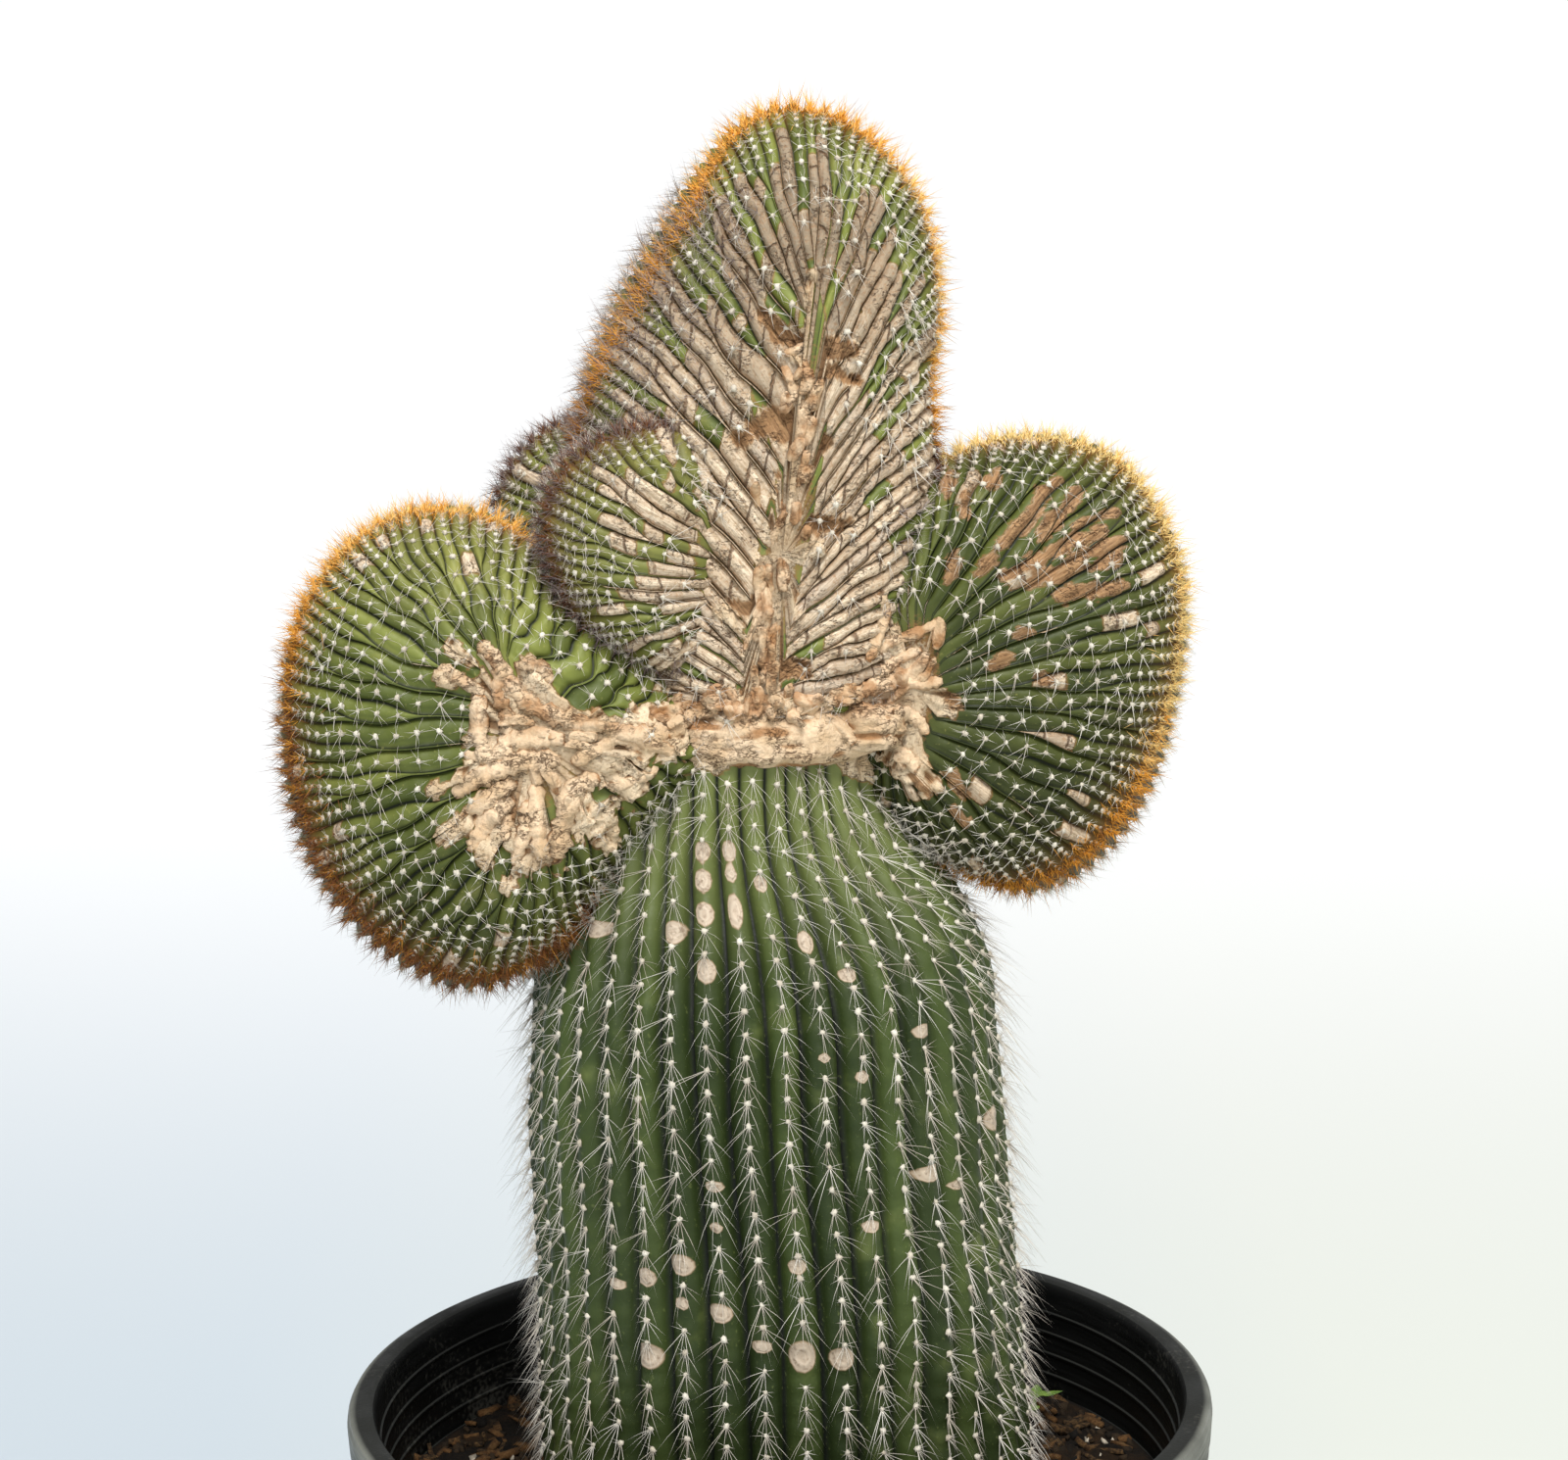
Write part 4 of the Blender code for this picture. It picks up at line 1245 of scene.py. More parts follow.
def sticks_on(name, skin, dice):
    """How woody each point is: one stretch from the seam on most ribs, and short loose ones."""
    run, points = skin["run"], skin["points"]
    stick = np.zeros(points.shape[:2])
    chance, shortest, longest = STICKS[name]
    tip_height = points[len(skin["polar"]) // 2, ::PER_RIB, 2] - CROWN_Z
    for rib in range(skin["ribs"]):
        columns = slice(rib * PER_RIB, (rib + 1) * PER_RIB)
        along = run[:, columns]
        if dice.random() < chance:
            first = dice.uniform(-0.006, 0.004)
            last = dice.uniform(shortest, longest)
            if name == "centre_crest":
                last *= 1 - 0.40 * ease(0.13, 0.18, tip_height[rib])
            woody = ease(first, first + 0.002, along) * (1 - ease(last - 0.002, last + 0.001, along))
            if dice.random() < 0.35:
                gap = dice.uniform(first, first + abs(last - first))
                woody = woody * (1 - ease(gap, gap + 0.002, along)
                                 * (1 - ease(gap + 0.012, gap + 0.015, along)))
            stick[:, columns] = woody
        for _ in range(2):
            if dice.random() < 0.20 and name in ("left_crest", "right_crest"):
                centre = dice.uniform(0.02, 0.085)
                length = dice.uniform(0.002, 0.006 if name == "left_crest" else 0.009)
                stick[:, columns] = np.maximum(
                    stick[:, columns], 1 - ease(length * 0.7, length, np.abs(along - centre)))
    return stick


# %% Build the crests
skins = {"column": stem}
for name, design in CRESTS.items():
    dice = np.random.default_rng(design["seed"])
    body, grow_line = crest_body(design)
    spread = design["perimeter"] / TURN
    polar = polar_rows(*design["rows"], spread, sum(design["thickness"]) / 4)
    skin = ribbed_skin(name, body, polar, rib_weights(design, polar, dice), grow_line, 0.46,
                       0.0034, (0.0027, 0.0072, 0.045), 0.45, design["seed"], turn_noise=0.07)
    surface, normals = skin["points"], skin["normals"]
    front = polar[:, None] < math.pi / 2
    mask = np.where(front, stroke_mask(surface, STROKES[name]), -FAR_OFF)
    patch = ease(-0.05, 0.15, mask + 0.45 * ripple(surface, 0.006, 7)
                 + 0.2 * ripple(surface, 0.002, 8))
    stick = sticks_on(name, skin, dice)
    # Each stick is broken into segments, which stand up by different amounts.
    tone_row = skin["tone"][0][None, :]
    segment = np.floor(skin["run"] * (SEGMENTS + SEGMENTS_MORE * tone_row)
                       + tone_row * SEGMENT_SHIFT)
    step_up = (np.sin(segment * SPIN + tone_row * SALT) * 43758.5453) % 1.0
    stick *= front * ease(0.22, 0.55, skin["profile"] + 0.12 * ripple(surface, 0.003, 9))
    torn = 0.35 * ripple(surface, 0.005, 11) + 0.15 * ripple(surface, 0.0018, 12)
    rust = np.where(front, ease(-0.05, 0.4, stroke_mask(surface, RUST.get(name, [])) + torn), 0)
    if name == "centre_crest":
        patch = np.maximum(patch, ease(0.0, 0.3, rust))
        ledge = -0.0030 * rust
    else:
        rust *= ease(0.15, 0.6, skin["profile"])
        ledge = 0.0
    # The patch is lighter in its middle, with rusty rims.
    rim_of_patch = ease(0.05, 0.5, patch) * (1 - ease(0.6, 1.0, patch))
    flat = ripple(surface, 0.007, 13) * 0.7 + ripple(surface, 0.0026, 14) * 0.4
    ropes = 1 - 2 * np.abs(flat)
    cork = np.maximum(np.maximum(patch, stick), rust * (name != "centre_crest"))
    rust = np.maximum(rust, np.maximum(0.75 * rim_of_patch, 0.8 * patch * ease(0.3, 0.9, -ropes)))
    # Old cork also covers the place where the ribs meet on the back.
    heel = np.where(front, 0, ease(0.0, 0.4, 1 - np.sin(polar)[:, None] / 0.26 + torn))
    cork = np.maximum(cork, heel)
    grain = fractal_at(surface, 190, 0.8, 4, patch)
    skin["points"] = surface + normals * (
        np.maximum(patch, heel) * (0.85 * skin["groove"] + 0.0008)
        + patch * (0.0012 * grain + 0.0013 * ropes) + ledge
        + stick * (0.0001 + 0.0007 * step_up + 0.0004 * ripple(surface, 0.003, 10)))[..., None]
    skin["cork"] = cork
    height_up = surface[..., 2] - CROWN_Z
    # Painted shade, stored as dark: the right crest all over and more towards its foot, the left
    # crest mostly low down, and the small crest evenly.
    dark = {"right_crest": 0.48 + 0.30 * (1 - ease(-0.05, 0.06, height_up)),
            "left_crest": 0.08 + 0.42 * (1 - ease(-0.06, 0.03, height_up)),
            "small_crest": 0.25}.get(name, 0.0)
    # Painted light, stored as pale: the upper parts of the left and small crests are tinted lighter
    # and yellower.
    pale = {"left_crest": 0.45, "small_crest": 0.4}.get(name, 0.0)
    skins[name] = skin
    skin["piece"] = skin_mesh(skin, {
        "cork": cork, "ridge": skin["profile"], "scar": FAR_OFF, "tone": skin["tone"],
        "young": np.exp(-np.abs(skin["distance"]) / 0.007),
        "wood": stick * (1 - heel) * (1 - patch), "rust": rust, "dark": dark,
        "pale": pale * ease(0.02, 0.08, height_up),
        "along": skin["run"], "across": skin["turn"] * design["perimeter"]})
print("crests", len(CRESTS))

# %% [markdown]
# ### Skin and cork materials
# One material serves the column and another the crests, built by the same function. The green
# is darker in the grooves as painted shade, lighter on the ridges, darkened further by painted
# shade low down, painted lighter and yellower near the tops, and varies from rib to rib. Cork
# lies over it: beige plates with brown cracks on the patches, and on the sticks fibres that run
# along the rib, with a dark joint between two segments; the sticks' sides are darkened as
# painted shade. Rust is laid over the cork.

# %% Skin materials
def skin_material(name, deep, shade, light, yellow):
    """Green ribs with painted shade and light, under cork, sticks, rust and scars, all read from what
    the vertices store; deep is the painted shade's colour.
    """
    made, tree, shader = new_material(name, roughness=0.55, specular=0.28)
    ridge, tone, young = (stored(tree, key) for key in ("ridge", "tone", "young"))
    corky, wood, wound = (stored(tree, key) for key in ("cork", "wood", "scar"))
    blotch = clouds(tree, 0.018, 4)
    freckle = clouds(tree, 0.0016, 3)
    rust = stored(tree, "rust")
    lit = plus(tree, times(tree, tone, 0.45), times(tree, blotch, 0.6))
    green = mix(tree, levels(tree, lit, 0.2, 0.85), shade, light)
    green = mix(tree, levels(tree, blotch, 0.55, 0.8, 0.0, 0.5), green, yellow)
    # Painted light: where pale is stored, near the tops, the green is tinted lighter and yellower.
    green = mix(tree, stored(tree, "pale"), green, yellow)
    # Painted shade: where dark is stored, low on the column and on the crests, the green runs to
    # deep.
    green = mix(tree, stored(tree, "dark"), green, deep)
    # Painted shade in the grooves: the green runs to deep where the rib's profile falls away.
    green = mix(tree, levels(tree, ridge, 0.0, 0.8), deep, green)
    green = mix(tree, levels(tree, freckle, 0.62, 0.75, 0.0, 0.35), green, yellow)
    green = mix(tree, times(tree, young, 0.85), green, colour(0.20, 0.085, 0.018))
    # Cork plates, fibres and cracks.
    crack = use_group(tree, CORK, "Crack", Plate=0.0045)
    grain = use_group(tree, CORK, "Grain", Plate=0.0045)
    patch = use_group(tree, CORK, "Patch", Plate=0.0045)
    fibre_place = node(tree, "ShaderNodeCombineXYZ",
                       {0: stored(tree, "across"), 1: times(tree, stored(tree, "along"), 0.12)})
    fibre = clouds(tree, 0.0011, 4, vector=fibre_place, rough=0.6)
    bark = mix(tree, levels(tree, patch, 0.3, 0.7), colour(0.60, 0.44, 0.27),
               colour(0.82, 0.66, 0.46))
    stick = mix(tree, levels(tree, fibre, 0.3, 0.7), colour(0.46, 0.34, 0.22),
                colour(0.90, 0.75, 0.56))
    stick = mix(tree, levels(tree, tone, 0.5, 0.9, 0.0, 0.4), stick, colour(0.36, 0.29, 0.24))
    height_z = place_on(tree, "Z")
    stick = mix(tree, levels(tree, height_z, CROWN_Z + 0.09, CROWN_Z + 0.16, 0.0, 0.85), stick,
                colour(0.28, 0.215, 0.145))
    # Every segment of a stick has its own shade; some of the breaks between them stay closed.
    per_metre = plus(tree, times(tree, tone, SEGMENTS_MORE), SEGMENTS)
    place_on_rib = plus(tree, times(tree, stored(tree, "along"), per_metre),
                        times(tree, tone, SEGMENT_SHIFT))
    place_on_rib = plus(tree, place_on_rib, times(tree, freckle, 0.16))

    def chance_of(place, salt):
        """A number from 0 to 1 that looks random and is the same along one segment."""
        spun = plus(tree, times(tree, place, SPIN), times(tree, tone, salt))
        return maths(tree, "FRACT", times(tree, maths(tree, "SINE", spun), 437.5))

    shade_of = chance_of(maths(tree, "FLOOR", place_on_rib), SALT)
    open_ = chance_of(maths(tree, "ROUND", place_on_rib), 41.7)
    stick = mix(tree, levels(tree, shade_of, 0.45, 0.95, 0.0, 0.5), stick, colour(0.40, 0.29, 0.19))
    # Painted shade: each stick turns darker brown on its sides, towards the grooves.
    stick = mix(tree, levels(tree, ridge, 0.4, 0.8, 0.65, 0.0), stick, colour(0.24, 0.13, 0.065))
    bark = mix(tree, wood, bark, stick)
    joint = maths(tree, "ABSOLUTE", minus(tree, maths(tree, "FRACT", place_on_rib), 0.5))
    joint = times(tree, levels(tree, joint, 0.44, 0.495),
                  times(tree, wood, levels(tree, open_, 0.35, 0.5)))
    bark = mix(tree, levels(tree, grain, 0.32, 0.52, 0.55, 0.0), bark, colour(0.34, 0.18, 0.08))
    rusted = mix(tree, levels(tree, fibre, 0.3, 0.7), colour(0.17, 0.075, 0.026),
                 colour(0.44, 0.245, 0.11))
    bark = mix(tree, levels(tree, plus(tree, rust, times(tree, grain, 0.3)),
                            0.35, 0.95, 0.0, 0.9), bark, rusted)
    bark = mix(tree, times(tree, crack, 0.85), bark, colour(0.13, 0.055, 0.02))
    bark = mix(tree, times(tree, joint, 0.75), bark, colour(0.13, 0.06, 0.025))
    rings = maths(tree, "SINE", times(tree, wound, 15.0))
    scab = mix(tree, levels(tree, rings, -1.0, 1.0), colour(0.49, 0.39, 0.29),
               colour(0.56, 0.46, 0.35))
    scab = mix(tree, levels(tree, wound, 0.8, 1.0), scab, colour(0.33, 0.23, 0.14))
    scab = mix(tree, levels(tree, freckle, 0.5, 0.7, 0.0, 0.6), scab, colour(0.16, 0.10, 0.06))
    scabbed = levels(tree, wound, 0.92, 1.05, 1.0, 0.0)
    base = mix(tree, scabbed, green, scab)
    edge_noise = plus(tree, corky, times(tree, minus(tree, grain, 0.5), 0.7))
    covered = levels(tree, edge_noise, 0.35, 0.6)
    rusty = levels(tree, edge_noise, 0.12, 0.35)
    base = mix(tree, times(tree, rusty, 0.6), base, colour(0.30, 0.14, 0.05))
    base = mix(tree, covered, base, bark)
    rough = plus(tree, times(tree, grain, 0.6), times(tree, fibre, 0.5))
    high = times(tree, covered, minus(tree, rough, crack))
    high = minus(tree, high, joint)
    high = plus(tree, high, times(tree, freckle, 0.12))
    high = plus(tree, high, times(tree, times(tree, rings, scabbed), 0.05))
    plug(tree, shader, Base_Color=base, Normal=bump(tree, high, 0.0012, 0.9),
         Roughness=levels(tree, covered, 0.0, 1.0, 0.5, 0.95))
    return made


stem_skin = skin_material("stem_skin", colour(0.003, 0.005, 0.002), colour(0.020, 0.033, 0.007),
                          colour(0.058, 0.084, 0.019), colour(0.17, 0.20, 0.06))
crest_skin = skin_material("crest_skin", colour(0.005, 0.009, 0.002), colour(0.085, 0.108, 0.020),
                           colour(0.205, 0.235, 0.048), colour(0.36, 0.34, 0.10))
total = settle(column, "stem_skin", stem_skin, "column")
for name in CRESTS:
    total += settle(skins[name]["piece"], "crest_skin", crest_skin, name)
print("skins", total)


# %% [markdown]
# ### The cork at the crown
# Where the crests leave the column, the old tip has healed into a thick, light band of cork. It
# stands proud of the ribs below it. One broad, boxy lump makes the band and four small ones its
# ends. Each is a ball of many faces, pressed to an ellipsoid, given upright sides and pushed out
# by layered noise, so the lumps run into one another like one crust with a rusty top.

# %% Cork lumps
cork_bark, tree, shader = new_material("crown_cork", roughness=0.95, specular=0.2)
crack = use_group(tree, CORK, "Crack", Plate=0.009)
fine_crack = use_group(tree, CORK, "Crack", Plate=0.004)
grain = use_group(tree, CORK, "Grain", Plate=0.006)
patch = use_group(tree, CORK, "Patch", Plate=0.006)
pit = stored(tree, "pit")
base = mix(tree, levels(tree, patch, 0.3, 0.7), colour(0.60, 0.42, 0.25), colour(0.82, 0.62, 0.42))
base = mix(tree, levels(tree, grain, 0.35, 0.62, 0.35, 0.0), base, colour(0.46, 0.30, 0.17))
top_z = place_on(tree, "Z")
rusty = times(tree, levels(tree, top_z, CROWN_Z + 0.004, CROWN_Z + 0.011),
              levels(tree, clouds(tree, 0.007, 4), 0.4, 0.62))
base = mix(tree, times(tree, rusty, 0.75), base, colour(0.36, 0.17, 0.065))
base = mix(tree, levels(tree, pit, 0.45, 0.95, 0.0, 0.85), base, colour(0.34, 0.16, 0.06))
base = mix(tree, times(tree, crack, 0.8), base, colour(0.16, 0.07, 0.03))
base = mix(tree, times(tree, fine_crack, 0.5), base, colour(0.22, 0.12, 0.06))
high = minus(tree, times(tree, grain, 0.7), plus(tree, crack, times(tree, fine_crack, 0.5)))
plug(tree, shader, Base_Color=base, Normal=bump(tree, high, 0.0012, 0.9))

# Each lump: centre and half sizes in mm from the crown, and how rough it is in mm.
CORK_LUMPS = [((-3, -10, -1), (46, 45, 13), 0.9), ((-40, -36, -4), (18, 15, 9), 1.4),
              ((-54, -28, -12), (11, 14, 9), 2.0), ((33, -34, 1), (13, 13, 8), 2.0),
              ((10, 30, 2), (34, 22, 9), 3.0)]
for number, (centre, half, rough_mm) in enumerate(CORK_LUMPS, 1):
    begin()
    bpy.ops.mesh.primitive_ico_sphere_add(subdivisions=6 if number == 1 else 5, radius=1.0)
    lump = bpy.context.object
    lump.name = f"cork_lump_{number}"
    edit_all()
    bpy.ops.transform.resize(value=[size * MM for size in half])
    object_mode()
    ball = points_of(lump)
    outward = unit(ball / (np.array(half) * MM) ** 2)
    # A flatter side than an ellipsoid's: the band stands upright and rounds off above and below.
    up = np.clip(np.abs(ball[:, 2]) / (half[2] * MM), 0, 0.999)
    ball[:, :2] *= ((1 - up ** 4) ** 0.5 / (1 - up ** 2) ** 0.5)[:, None]
    middle = np.array(centre) * MM + [0, 0, CROWN_Z]
    crust = fractal_at(ball + middle, 95, 0.85, 6)
    folds = np.abs(noise_at(ball + middle, (60, 60, 200)))
    lift = (crust * 1.1 - folds * 1.4 + 0.3) * rough_mm * MM
    move_points(lump, ball + middle + outward * lift[:, None])
    paint(lump, "pit", ease(0.0, 0.9, folds * 1.6 - crust * 0.5))
    settle(lump, "stem_skin", cork_bark, "column")


# %% [markdown]
# ### Loose bark on the seams
# Along the seams the bark has split into short slabs that stand proud. A slab is a block, cut
# into segments, with its ends pinched and its faces roughened by noise. Each one is laid on the
# skin by shooting a ray at it from the front, so it follows the surface it lies on. The slabs of
# one CAD node are then joined into one piece.

# %% Bark slabs
def bark_slab(name, size, place, outward, heading, seed):
    """A rough slab: size (across, along, thick), standing on a point and turned to a heading."""
    begin()
    bpy.ops.mesh.primitive_cube_add(size=1.0)
    slab = bpy.context.object
    slab.name = name
    edit_all()
    bpy.ops.mesh.bevel(offset=0.12, segments=1, affect="EDGES")
    bpy.ops.mesh.select_all(action="SELECT")
    bpy.ops.mesh.subdivide(number_cuts=4, smoothness=0.4)
    object_mode()
    points = points_of(slab) * np.array(size)
    dice = np.random.default_rng(seed)
    shift = dice.uniform(0, 50, 3)
    taper = 1 - 0.30 * (2 * np.abs(points[:, 1]) / size[1]) ** 3
    points[:, 0] *= taper
    points[:, 0] += 0.12 * size[1] * np.sin(points[:, 1] / size[1] * 2.5 + dice.uniform(0, 6))
    waves = fractal_at(points, 260, 0.9, 4, shift=shift)
    steps = noise_at(points, (700, 90, 0), shift)
    points[:, 2] += (waves * 0.0006 + steps * 0.0005) * (points[:, 2] > 0)
    points[:, :2] += np.sign(points[:, :2]) * (waves * 0.0005)[:, None]
    z = Vector(outward).normalized()
    y = Vector(heading) - Vector(heading).dot(z) * z
    y.normalize()
    turn_ = np.array([y.cross(z), y, z]).T
    move_points(slab, points @ turn_.T + np.array(place))
    paint(slab, "pit", np.clip(0.35 - waves * 0.7, 0, 1))
    return slab


def front_hit(side, height, targets):
    """The first skin met by a ray from the front at a place given in mm from the crown."""
    best = None
    for tree_ in targets:
        start = Vector((side * MM, -0.4, CROWN_Z + height * MM))
        hit, normal, _, distance = tree_.ray_cast(start, Vector((0, 1, 0)))
        if hit is not None and (best is None or distance < best[2]):
            best = (hit, normal, distance)
    return best


def skin_tree(piece):
    return BVHTree.FromPolygons([vert.co.copy() for vert in piece.data.vertices],
                                [face.vertices[:] for face in piece.data.polygons])


targets = [skin_tree(skins[name]["piece"]) for name in skins]
dice = np.random.default_rng(77)
# Lines that slabs are scattered along: points, how many, half width across the line, length
# range, all in mm, and the direction in which the slabs lie.
SLAB_LINES = [
    ([(-3, 18), (0, 40), (5, 60), (9, 84), (13, 108), (16, 134)], 46, 6.5, (5, 13), (0.1, 0, 1)),
    ([(-14, 10), (10, 12)], 14, 4.0, (5, 11), (0.1, 0, 1)),
    ([(-34, 9), (-20, 12), (0, 12), (24, 12), (36, 10)], 34, 3.6, (4, 9), (1, 0, 0.3)),
    ([(-84, 10), (-66, 6), (-48, 5), (-36, 4)], 8, 4.0, (6, 12), (-1, 0, 0.15)),
    ([(-76, -8), (-64, -12), (-56, -22)], 7, 4.0, (5, 10), (-0.3, 0, 0.9)),
    ([(40, 12), (52, 20), (58, 30)], 5, 4.0, (5, 10), (0.7, 0, 0.7)),
    ([(38, 0), (48, -14)], 7, 5.0, (5, 10), (0.5, 0, -0.8))]
slabs = {"column": [], "centre_crest": []}
number = 0
for line, count, half_width, (shortest, longest), heading in SLAB_LINES:
    line = np.array(line, dtype=float)
    for _ in range(count):
        along = dice.uniform(0, len(line) - 1.001)
        first = int(along)
        spot = line[first] + (line[first + 1] - line[first]) * (along - first)
        spot = spot + dice.normal(0, half_width * 0.5, 2)
        met = front_hit(spot[0], spot[1], targets)
        if met is None or met[1].y > -0.2:
            continue
        hit, normal, _ = met
        length = dice.uniform(shortest, longest)
        lean = Vector(heading) + Vector(dice.normal(0, 0.16, 3))
        number += 1
        slab = bark_slab(f"bark_slab_{number}", (dice.uniform(2.2, 4.4) * MM, length * MM,
                                                 dice.uniform(1.6, 3.0) * MM),
                         hit + normal * 0.0004, normal + Vector(dice.normal(0, 0.12, 3)), lean,
                         number)
        slabs["column" if hit.z < CROWN_Z - 0.012 else "centre_crest"].append(slab)
for name, pieces in slabs.items():
    if pieces:
        settle(join_up(f"{name}_bark_slabs", pieces),
               "stem_skin" if name == "column" else "crest_skin", cork_bark, name)
print("slabs", number)

# %% [markdown]
# ### Strands of cork
# Thick strands branch over the patches of the left crest, over the seam of the right crest and
# at the foot of the centre crest. Each is a tube: its centre line is laid on the skin by rays
# from the front and smoothed, its section is an oval with fibres, and noise roughens it. The
# sides that face down are rusty.

# %% Cork ropes
# A radius and a line of points, in mm from the crown, seen from the front.
ROPES = [
    (2.6, [(-93, 36), (-86, 28), (-83, 21), (-76, 14), (-65, 10), (-53, 7)]),
    (2.0, [(-82, 28), (-74, 29), (-70, 22)]), (2.8, [(-88, 3), (-77, 4), (-66, 4)]),
    (2.2, [(-99, -1), (-90, -2), (-83, 2)]),
    (3.0, [(-103, -14), (-94, -8), (-81, -3), (-68, -3)]),
    (2.4, [(-99, -20), (-88, -13), (-82, -10)]), (2.6, [(-98, -33), (-92, -22), (-83, -16)]),
    (2.4, [(-84, -38), (-79, -24), (-78, -16)]), (2.8, [(-74, -37), (-76, -23), (-76, -11)]),
    (3.2, [(-70, -36), (-67, -23), (-64, -12), (-55, -9)]),
    (2.2, [(-64, -4), (-54, 1), (-47, 6)]), (2.4, [(-53, 7), (-43, 5), (-32, 4)]),
    (2.6, [(-93, 19), (-94, 12), (-94, 3), (-90, -4)]),
    (2.0, [(-106, 28), (-98, 23), (-92, 19)]),
    (2.2, [(-86, 30), (-88, 19), (-84, 12), (-85, 5)]),
    (2.0, [(-90, -18), (-85, -22), (-86, -29)]),
    (2.2, [(-33, 3), (-25, 8), (-18, 12), (-14, 17)]),
    (1.6, [(-21, 14), (-18, 18), (-12, 17), (-10, 13)]),
    (2.0, [(16, 12), (27, 13), (38, 16), (52, 16)]), (1.8, [(13, 9), (23, 5), (28, -3)]),
    (1.7, [(34, 15), (46, 19), (56, 14)]), (2.2, [(-46, 5), (-38, 2), (-31, -2)]),
    (1.8, [(-52, -13), (-42, -10), (-36, -7)]),
    (2.0, [(33, 13), (42, 16), (51, 14), (58, 15)]),
    (1.8, [(33, 25), (41, 29), (48, 31), (57, 35)]), (1.6, [(34, 16), (42, 22), (51, 26)]),
    (2.0, [(41, 7), (49, 3), (53, -3)]), (1.8, [(37, 46), (40, 40), (36, 30), (33, 24)]),
    (1.8, [(39, 0), (44, -9), (50, -14)])]
ROPE_SIDES = 14


def smoothed(rows, times):
    """Rows between the two ends, each moved to the mean of itself and its neighbours."""
    for _ in range(times):
        rows[1:-1] = (rows[:-2] + rows[1:-1] + rows[2:]) / 3
    return rows


def cork_rope(number, radius, line):
    """A rough tube on the skin along a line, or None where the line misses the skin."""
    dice = np.random.default_rng(500 + number)
    run = run_along(line)
    stations = max(12, int(run[-1] / 1.1))
    places = smoothed(np.array([np.interp(np.linspace(0, run[-1], stations), run, line[:, axis])
                                for axis in (0, 1)]).T, 3)
    met = [front_hit(side, height, targets) for side, height in places]
    if any(hit is None for hit in met):
        return None
    centre = smoothed(np.array([hit[0] for hit in met]), 4)
    upright = unit(smoothed(np.array([hit[1] for hit in met]) + [0, -0.6, 0], 4))
    sideways = unit(np.cross(np.gradient(centre, axis=0), upright))
    share = np.linspace(-0.96, 0.96, stations)
    swell = ripple(np.stack([share * run[-1] * MM] * 3, axis=-1), 0.004, 500 + number)
    thick = (radius * MM * (1 - share ** 6) ** 0.5 * (1 + 0.22 * swell))[:, None, None]
    angle = np.linspace(0, TURN, ROPE_SIDES, endpoint=False)[None, :]
    out = (sideways[:, None, :] * np.cos(angle)[..., None] * 1.15
           + upright[:, None, :] * np.sin(angle)[..., None] * 0.8)
    grid = centre[:, None, :] + out * thick
    fibres = np.sin(angle * 4 + share[:, None] * 3 + dice.uniform(0, 6)) * 0.10
    waves = fractal_at(grid, 240, 0.9, 4)
    grid = grid + out * thick * (fibres + 0.28 * waves)[..., None]
    rusty = ease(0.55, -0.35, np.sin(angle)) * 0.8 + 0.35 * np.maximum(waves, 0)
    ends = 0.9 * ease(0.86, 1.0, np.abs(share))[:, None] * (dice.random() < 0.5)
    rusty = np.maximum(rusty, ends)
    return skin_mesh({"name": f"rope_{number}", "points": grid},
                     {"pit": np.clip(0.25 + rusty, 0, 1)})


ropes = {"left_crest": [], "right_crest": [], "centre_crest": []}
targets += [skin_tree(bpy.data.objects[f"cork_lump_{number}"]) for number in (1, 2, 3, 4)]
for number, (radius, line) in enumerate(ROPES, 1):
    line = np.array(line, dtype=float)
    rope = cork_rope(number, radius, line)
    if rope:
        ropes["left_crest" if line[0][0] < -35 else
              "right_crest" if line[0][0] > 28 else "centre_crest"].append(rope)
for name, pieces in ropes.items():
    settle(join_up(f"{name}_cork_ropes", pieces), "crest_skin", cork_bark, name)
print("ropes", {name: len(pieces) for name, pieces in ropes.items()})


# %% [markdown]
# ## Areoles and spines
# Cactus spines grow from areoles: small woolly cushions in a row along each rib, close together
# near the growing edge and farther apart in older skin. One cushion and a few spine clusters are
# modelled by hand, and the copies stand where the skin says: its phase passes a whole number at
# each areole. Places that are hidden inside another part are left out.

# %% Models of a cushion and of spine clusters
def cushion_model(name):
    """A squashed, roughened ball that sits half in the skin."""
    begin()
    bpy.ops.mesh.primitive_ico_sphere_add(subdivisions=1, radius=1.0)
    ball = bpy.context.object
    ball.name = name
    edit_all()
    bpy.ops.transform.vertex_random(offset=0.22, uniform=1.0, normal=0.0, seed=4)
    bpy.ops.transform.resize(value=(1.15, 0.95, 0.62))
    bpy.ops.transform.translate(value=(0, 0, 0.25))
    object_mode()
    return ball


def needle(direction, length, width, sag):
    """A three-sided needle along a direction; a long one is bent once, towards local X."""
    begin()
    bpy.ops.mesh.primitive_cone_add(vertices=3, radius1=width / 2, radius2=0, depth=length,
                                    location=(0, 0, length / 2))
    made = bpy.context.object
    bpy.ops.object.transform_apply(location=True, rotation=False, scale=False)
    if sag:
        bpy.ops.object.mode_set(mode="EDIT")
        bpy.ops.mesh.select_all(action="SELECT")
        bpy.ops.mesh.bisect(plane_co=(0, 0, length * 0.5), plane_no=(0, 0, 1))
        object_mode()
    points = points_of(made)
    along = points[:, 2].copy()
    lean = Vector(direction).normalized().to_track_quat("Z", "Y").to_matrix()
    points = points @ np.array(lean).T
    points[:, 0] += sag * (along / length) ** 2 * length
    move_points(made, points)
    return made


